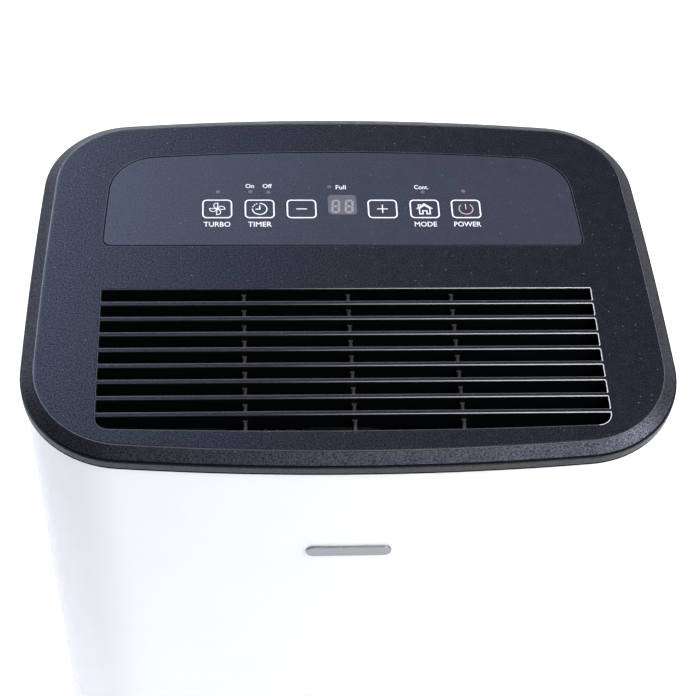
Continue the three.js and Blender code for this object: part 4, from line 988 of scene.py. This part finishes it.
# ------ bucket
def bucket_front():
    front = shell_ring("bucket_skin", BODY_INSET, CHASSIS_INSET - 0.3, BASE_Z + 1, BUCKET_TOP_Z)
    carve(front, slab(BUCKET_SIDE_Y, DEPTH, HEIGHT))
    face = -DEPTH / 2
    back = face + BODY_INSET + GRIP_DEPTH
    middle = (0, (GRIP_Z0 + GRIP_Z1) / 2)
    height = GRIP_Z1 - GRIP_Z0
    liner = round_rect(middle, 2 * GRIP_HALF + 4, height + 4, 10)
    carve(front, Shape(FACING_Y).prism(liner, face + 4.3, back + 2), "UNION")
    carve(front, Shape(FACING_Y).prism(round_rect(middle, 2 * GRIP_HALF, height, 8), face - 5, back))
    carve(front, Shape(FACING_Y).prism(level_outline(0), face - 5, face + 12))
    finish_piece(front, WHITE, "bucket", replaces=["bucket_front"], bevel=0.7, segments=3)


def level_outline(shrink):
    height = LEVEL_Z1 - LEVEL_Z0 - 2 * shrink
    width = LEVEL_W - 2 * shrink
    return round_rect((0, (LEVEL_Z0 + LEVEL_Z1) / 2), width, height, width / 2 - 0.1, 10)


def level_window():
    face = -DEPTH / 2 + BODY_INSET
    glass = Shape(FACING_Y).prism(level_outline(GAP), face + 0.3, face + 2.8, 0, 0.5)
    make("level_glass", glass, SMOKE, "bucket", replaces=["level_window"])


def tank_body(name, inset, z0, z1, radius, back_y):
    """The tank's plan between two heights, cut off flat at the back."""
    body = mesh_object(name, Shape().prism(plan(inset), z0, z1, 0, radius, 5))
    carve(body, slab(back_y, DEPTH, HEIGHT))
    return body


def bucket_tank():
    tank = tank_body("tank_moulding", TANK_INSET, TANK_Z0, TANK_Z1, 5, BUCKET_BACK_Y)
    hollow = tank_body("hollow", TANK_INSET + TANK_WALL, TANK_Z0 + 2.5, TANK_Z1 + 1, 4,
                       BUCKET_BACK_Y - TANK_WALL)
    carve(tank, Shape().absorb(hollow))
    front = -DEPTH / 2 + CHASSIS_INSET
    add_blocks(tank, [((x - 5, x + 5), (front + 1.5, front + 8), (60, 110)) for x in (-60, 60)])
    finish_piece(tank, TANK, "bucket", replaces=["bucket_tank"], bevel=0.5)


# ------ casters
def caster(name, x, y):
    axle_y = y + WHEEL_TRAIL
    fork = Shape()
    fork.turned([(0, 30.5), (13.6, 30.5), (13.9, 31), (13.9, 33.3), (13.2, 34), (3, 34), (3, 37.9),
                 (4.7, 37.9), (4.7, 39.2), (4.3, 39.6), (0, 39.6)], centre=(x, y), sides=40)
    legs = Shape(FACING_X)
    for side in (-1, 1):
        span = sorted((x + side * (WHEEL_HALF + 0.8), x + side * (WHEEL_HALF + 2.8)))
        outline = (arc((axle_y, WHEEL_R), 3.5, math.radians(200), math.radians(340), 10, True)
                   + [(y + 9, 22), (y + 9, 31), (y - 4, 31), (y - 4, 24)])
        legs.prism(outline, *span, 0.4, 0.4, 2)
    fork.absorb(mesh_object("legs", legs))
    end = WHEEL_HALF + 3.2
    axle = Shape(FACING_X).turned([(0, x - end), (1.8, x - end), (2.2, x - end + 0.4), (2.2, x + end - 0.4),
                                   (1.8, x + end), (0, x + end)], centre=(axle_y, WHEEL_R), sides=24)
    make(f"fork_{name}", fork, STEEL, f"caster_{name}", replaces=[f"caster_fork_{name}"])
    make(f"axle_{name}", axle, STEEL, f"caster_{name}")
    h, r = WHEEL_HALF, WHEEL_R
    turn = FACING_X @ Matrix.Translation((axle_y, WHEEL_R, x))
    tyre = Shape(turn).turned([(8.2, -h), (r - 1.6, -h), (r - 0.5, -h + 0.4), (r, -h + 1.5), (r, h - 1.5),
                               (r - 0.5, h - 0.4), (r - 1.6, h), (8.2, h), (8.2, -h)], sides=56)
    make(f"tyre_{name}", tyre, RUBBER, f"wheel_{name}", replaces=[f"caster_wheel_{name}"])
    hub = Shape(turn).turned([(2.4, -h + 0.3), (4, -h + 0.3), (4.2, -h + 1.5), (7.6, -h + 1.5),
                              (8.2, -h + 0.6), (8.2, h - 0.6), (7.6, h - 1.5), (4.2, h - 1.5),
                              (4, h - 0.3), (2.4, h - 0.3), (2.4, -h + 0.3)])
    make(f"hub_{name}", hub, GREY, f"wheel_{name}")


# ------ CAD nodes that keep their shape
KEPT = {  # node: its finish and the width of its rounded edges
    "display_board": (BOARD, 0.2), "drain_port": (GREY, 0.4), "filter_frame": (CHASSIS, 0.5),
    "base_pan": (CHASSIS, 0.6), "bucket_lid": (GREY, 0.5), "bucket_handle": (GREY, 1.2),
    "bucket_float": (FOAM, 1.5), "divider_frame": (CHASSIS, 0.5), "drip_tray": (GREY, 0.5),
    "compressor": (PAINTED, 0.8), "terminal_cover": (RUBBER, 0.6), "compressor_grommet_1": (RUBBER, 0.4),
    "compressor_grommet_2": (RUBBER, 0.4), "compressor_grommet_3": (RUBBER, 0.4),
    "suction_pipe": (COPPER, 0), "discharge_pipe": (COPPER, 0), "capillary_tube": (COPPER, 0),
    "fan_housing": (DUCT, 0), "motor_plate": (DUCT, 0), "fan_motor": (STEEL, 0.5),
    "motor_shaft": (STEEL, 0.3), "fan_wheel": (DUCT, 0), "electronics_box": (CHASSIS, 0.6),
    "main_board": (BOARD, 0.3), "run_capacitor": (STEEL, 0.6), "humidity_sensor": (WHITE, 0.3),
    "reed_switch": (CHASSIS, 0.3),
}


def keep_cad_nodes():
    for name, (finish, edge) in KEPT.items():
        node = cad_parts[name]
        node.data.materials.clear()
        node.data.materials.append(finish)
        if edge:
            bevel_edges(node, edge)
        weight_normals(node)


# ------ floor, light and camera
WHITE_LIGHT, BLUISH, PALE_BLUE = (1, 1, 1), (0.66, 0.74, 1.0), (0.85, 0.9, 1.0)
BODY_AIM, LOW_AIM, WALL_SIZE = (0, 0, 0.5), (0, 0, 0.2), (2.4, 1.2)
SOFTBOXES = (  # name, place, aim, size, watts, colour
    ("left_softbox", (-0.95, 1.4, 1.85), BODY_AIM, (1.2, 1.2), 29, BLUISH),
    ("right_softbox", (1.45, -0.5, 1.6), BODY_AIM, (0.9, 0.9), 27, WHITE_LIGHT),
    ("front_softbox", (1.3, -2.0, 0.6), LOW_AIM, (1.6, 1.2), 9, WHITE_LIGHT),
    ("top_softbox", (0.75, -1.0, 2.3), BODY_AIM, (1.3, 0.5), 21, WHITE_LIGHT),
    ("overhead_softbox", (0.4, -0.15, 2.6), BODY_AIM, (0.7, 0.4), 3, WHITE_LIGHT),
    ("back_wall", (-0.7, 2.4, 1.15), BODY_AIM, WALL_SIZE, 19, PALE_BLUE),
    ("right_wall", (2.5, 1.4, 0.7), BODY_AIM, WALL_SIZE, 8, WHITE_LIGHT),
    ("left_wall", (-2.5, 0.9, 0.7), BODY_AIM, WALL_SIZE, 10, WHITE_LIGHT))


def studio():
    scene = bpy.context.scene
    scene.view_settings.view_transform = "Standard"
    floor = mesh_object("floor", Shape().box((-9000, 9000), (-9000, 9000), (-20, -0.02)))
    floor.data.transform(Matrix.Scale(MM, 4))
    paper = bpy.data.materials.new("pale_floor")
    paper.use_nodes = True
    set_sockets(paper.node_tree.nodes["Principled BSDF"],
                {"Base Color": (0.93, 0.93, 0.93, 1), "Roughness": 0.9,
                 "Emission Color": (1, 1, 1, 1), "Emission Strength": 0.45})
    floor.data.materials.append(paper)
    world = bpy.data.worlds.new("studio")
    world.use_nodes = True
    set_sockets(world.node_tree.nodes["Background"], {"Color": (0.9, 0.94, 1.0, 1), "Strength": 0.12})
    scene.world = world
    for softbox in SOFTBOXES:
        add_softbox(*softbox)


def add_softbox(name, place, aim, size, power, colour):
    light = bpy.data.lights.new(name, "AREA")
    light.shape = "RECTANGLE"
    light.size, light.size_y = size
    light.energy = power
    light.color = colour
    lamp = add_object(name, light)
    lamp.location = place
    lamp.rotation_euler = (Vector(aim) - Vector(place)).to_track_quat("-Z", "Y").to_euler()


CAMERA_PLACE = Vector((-0.06551, -0.59079, 1.23978))
CAMERA_RIGHT = Vector((0.997543, -0.046173, 0.052696))
CAMERA_UP = Vector((0.005702, 0.803128, 0.595779))
CAMERA_LENS = 88.44


def camera():
    data = bpy.data.cameras.new("camera")
    data.lens = CAMERA_LENS
    data.sensor_width = 36
    data.sensor_fit = "HORIZONTAL"
    data.clip_start = 0.01
    view = add_object("camera", data)
    back = CAMERA_RIGHT.cross(CAMERA_UP)
    turn = Matrix((CAMERA_RIGHT, CAMERA_UP, back)).transposed().to_4x4()
    view.matrix_world = Matrix.Translation(CAMERA_PLACE) @ turn
    bpy.context.scene.camera = view


camera()
studio()
cover_moulding()
grille_blades()
bright_edges()
grille_ribs()
cover_lip()
control_film()
display_window()
ghost_digits()
for key, button_x in BUTTON_X.items():
    button(key, button_x)
panel_words()
front_cover()
rear_cover()
badge()
cover_screws()
rear_fittings()
intake_grille()
filter_net()
coil("evaporator", 84, 103)
coil("condenser", 57, 79)
bucket_front()
level_window()
bucket_tank()
for key, (caster_x, caster_y) in CASTERS.items():
    caster(key, caster_x, caster_y)
keep_cad_nodes()
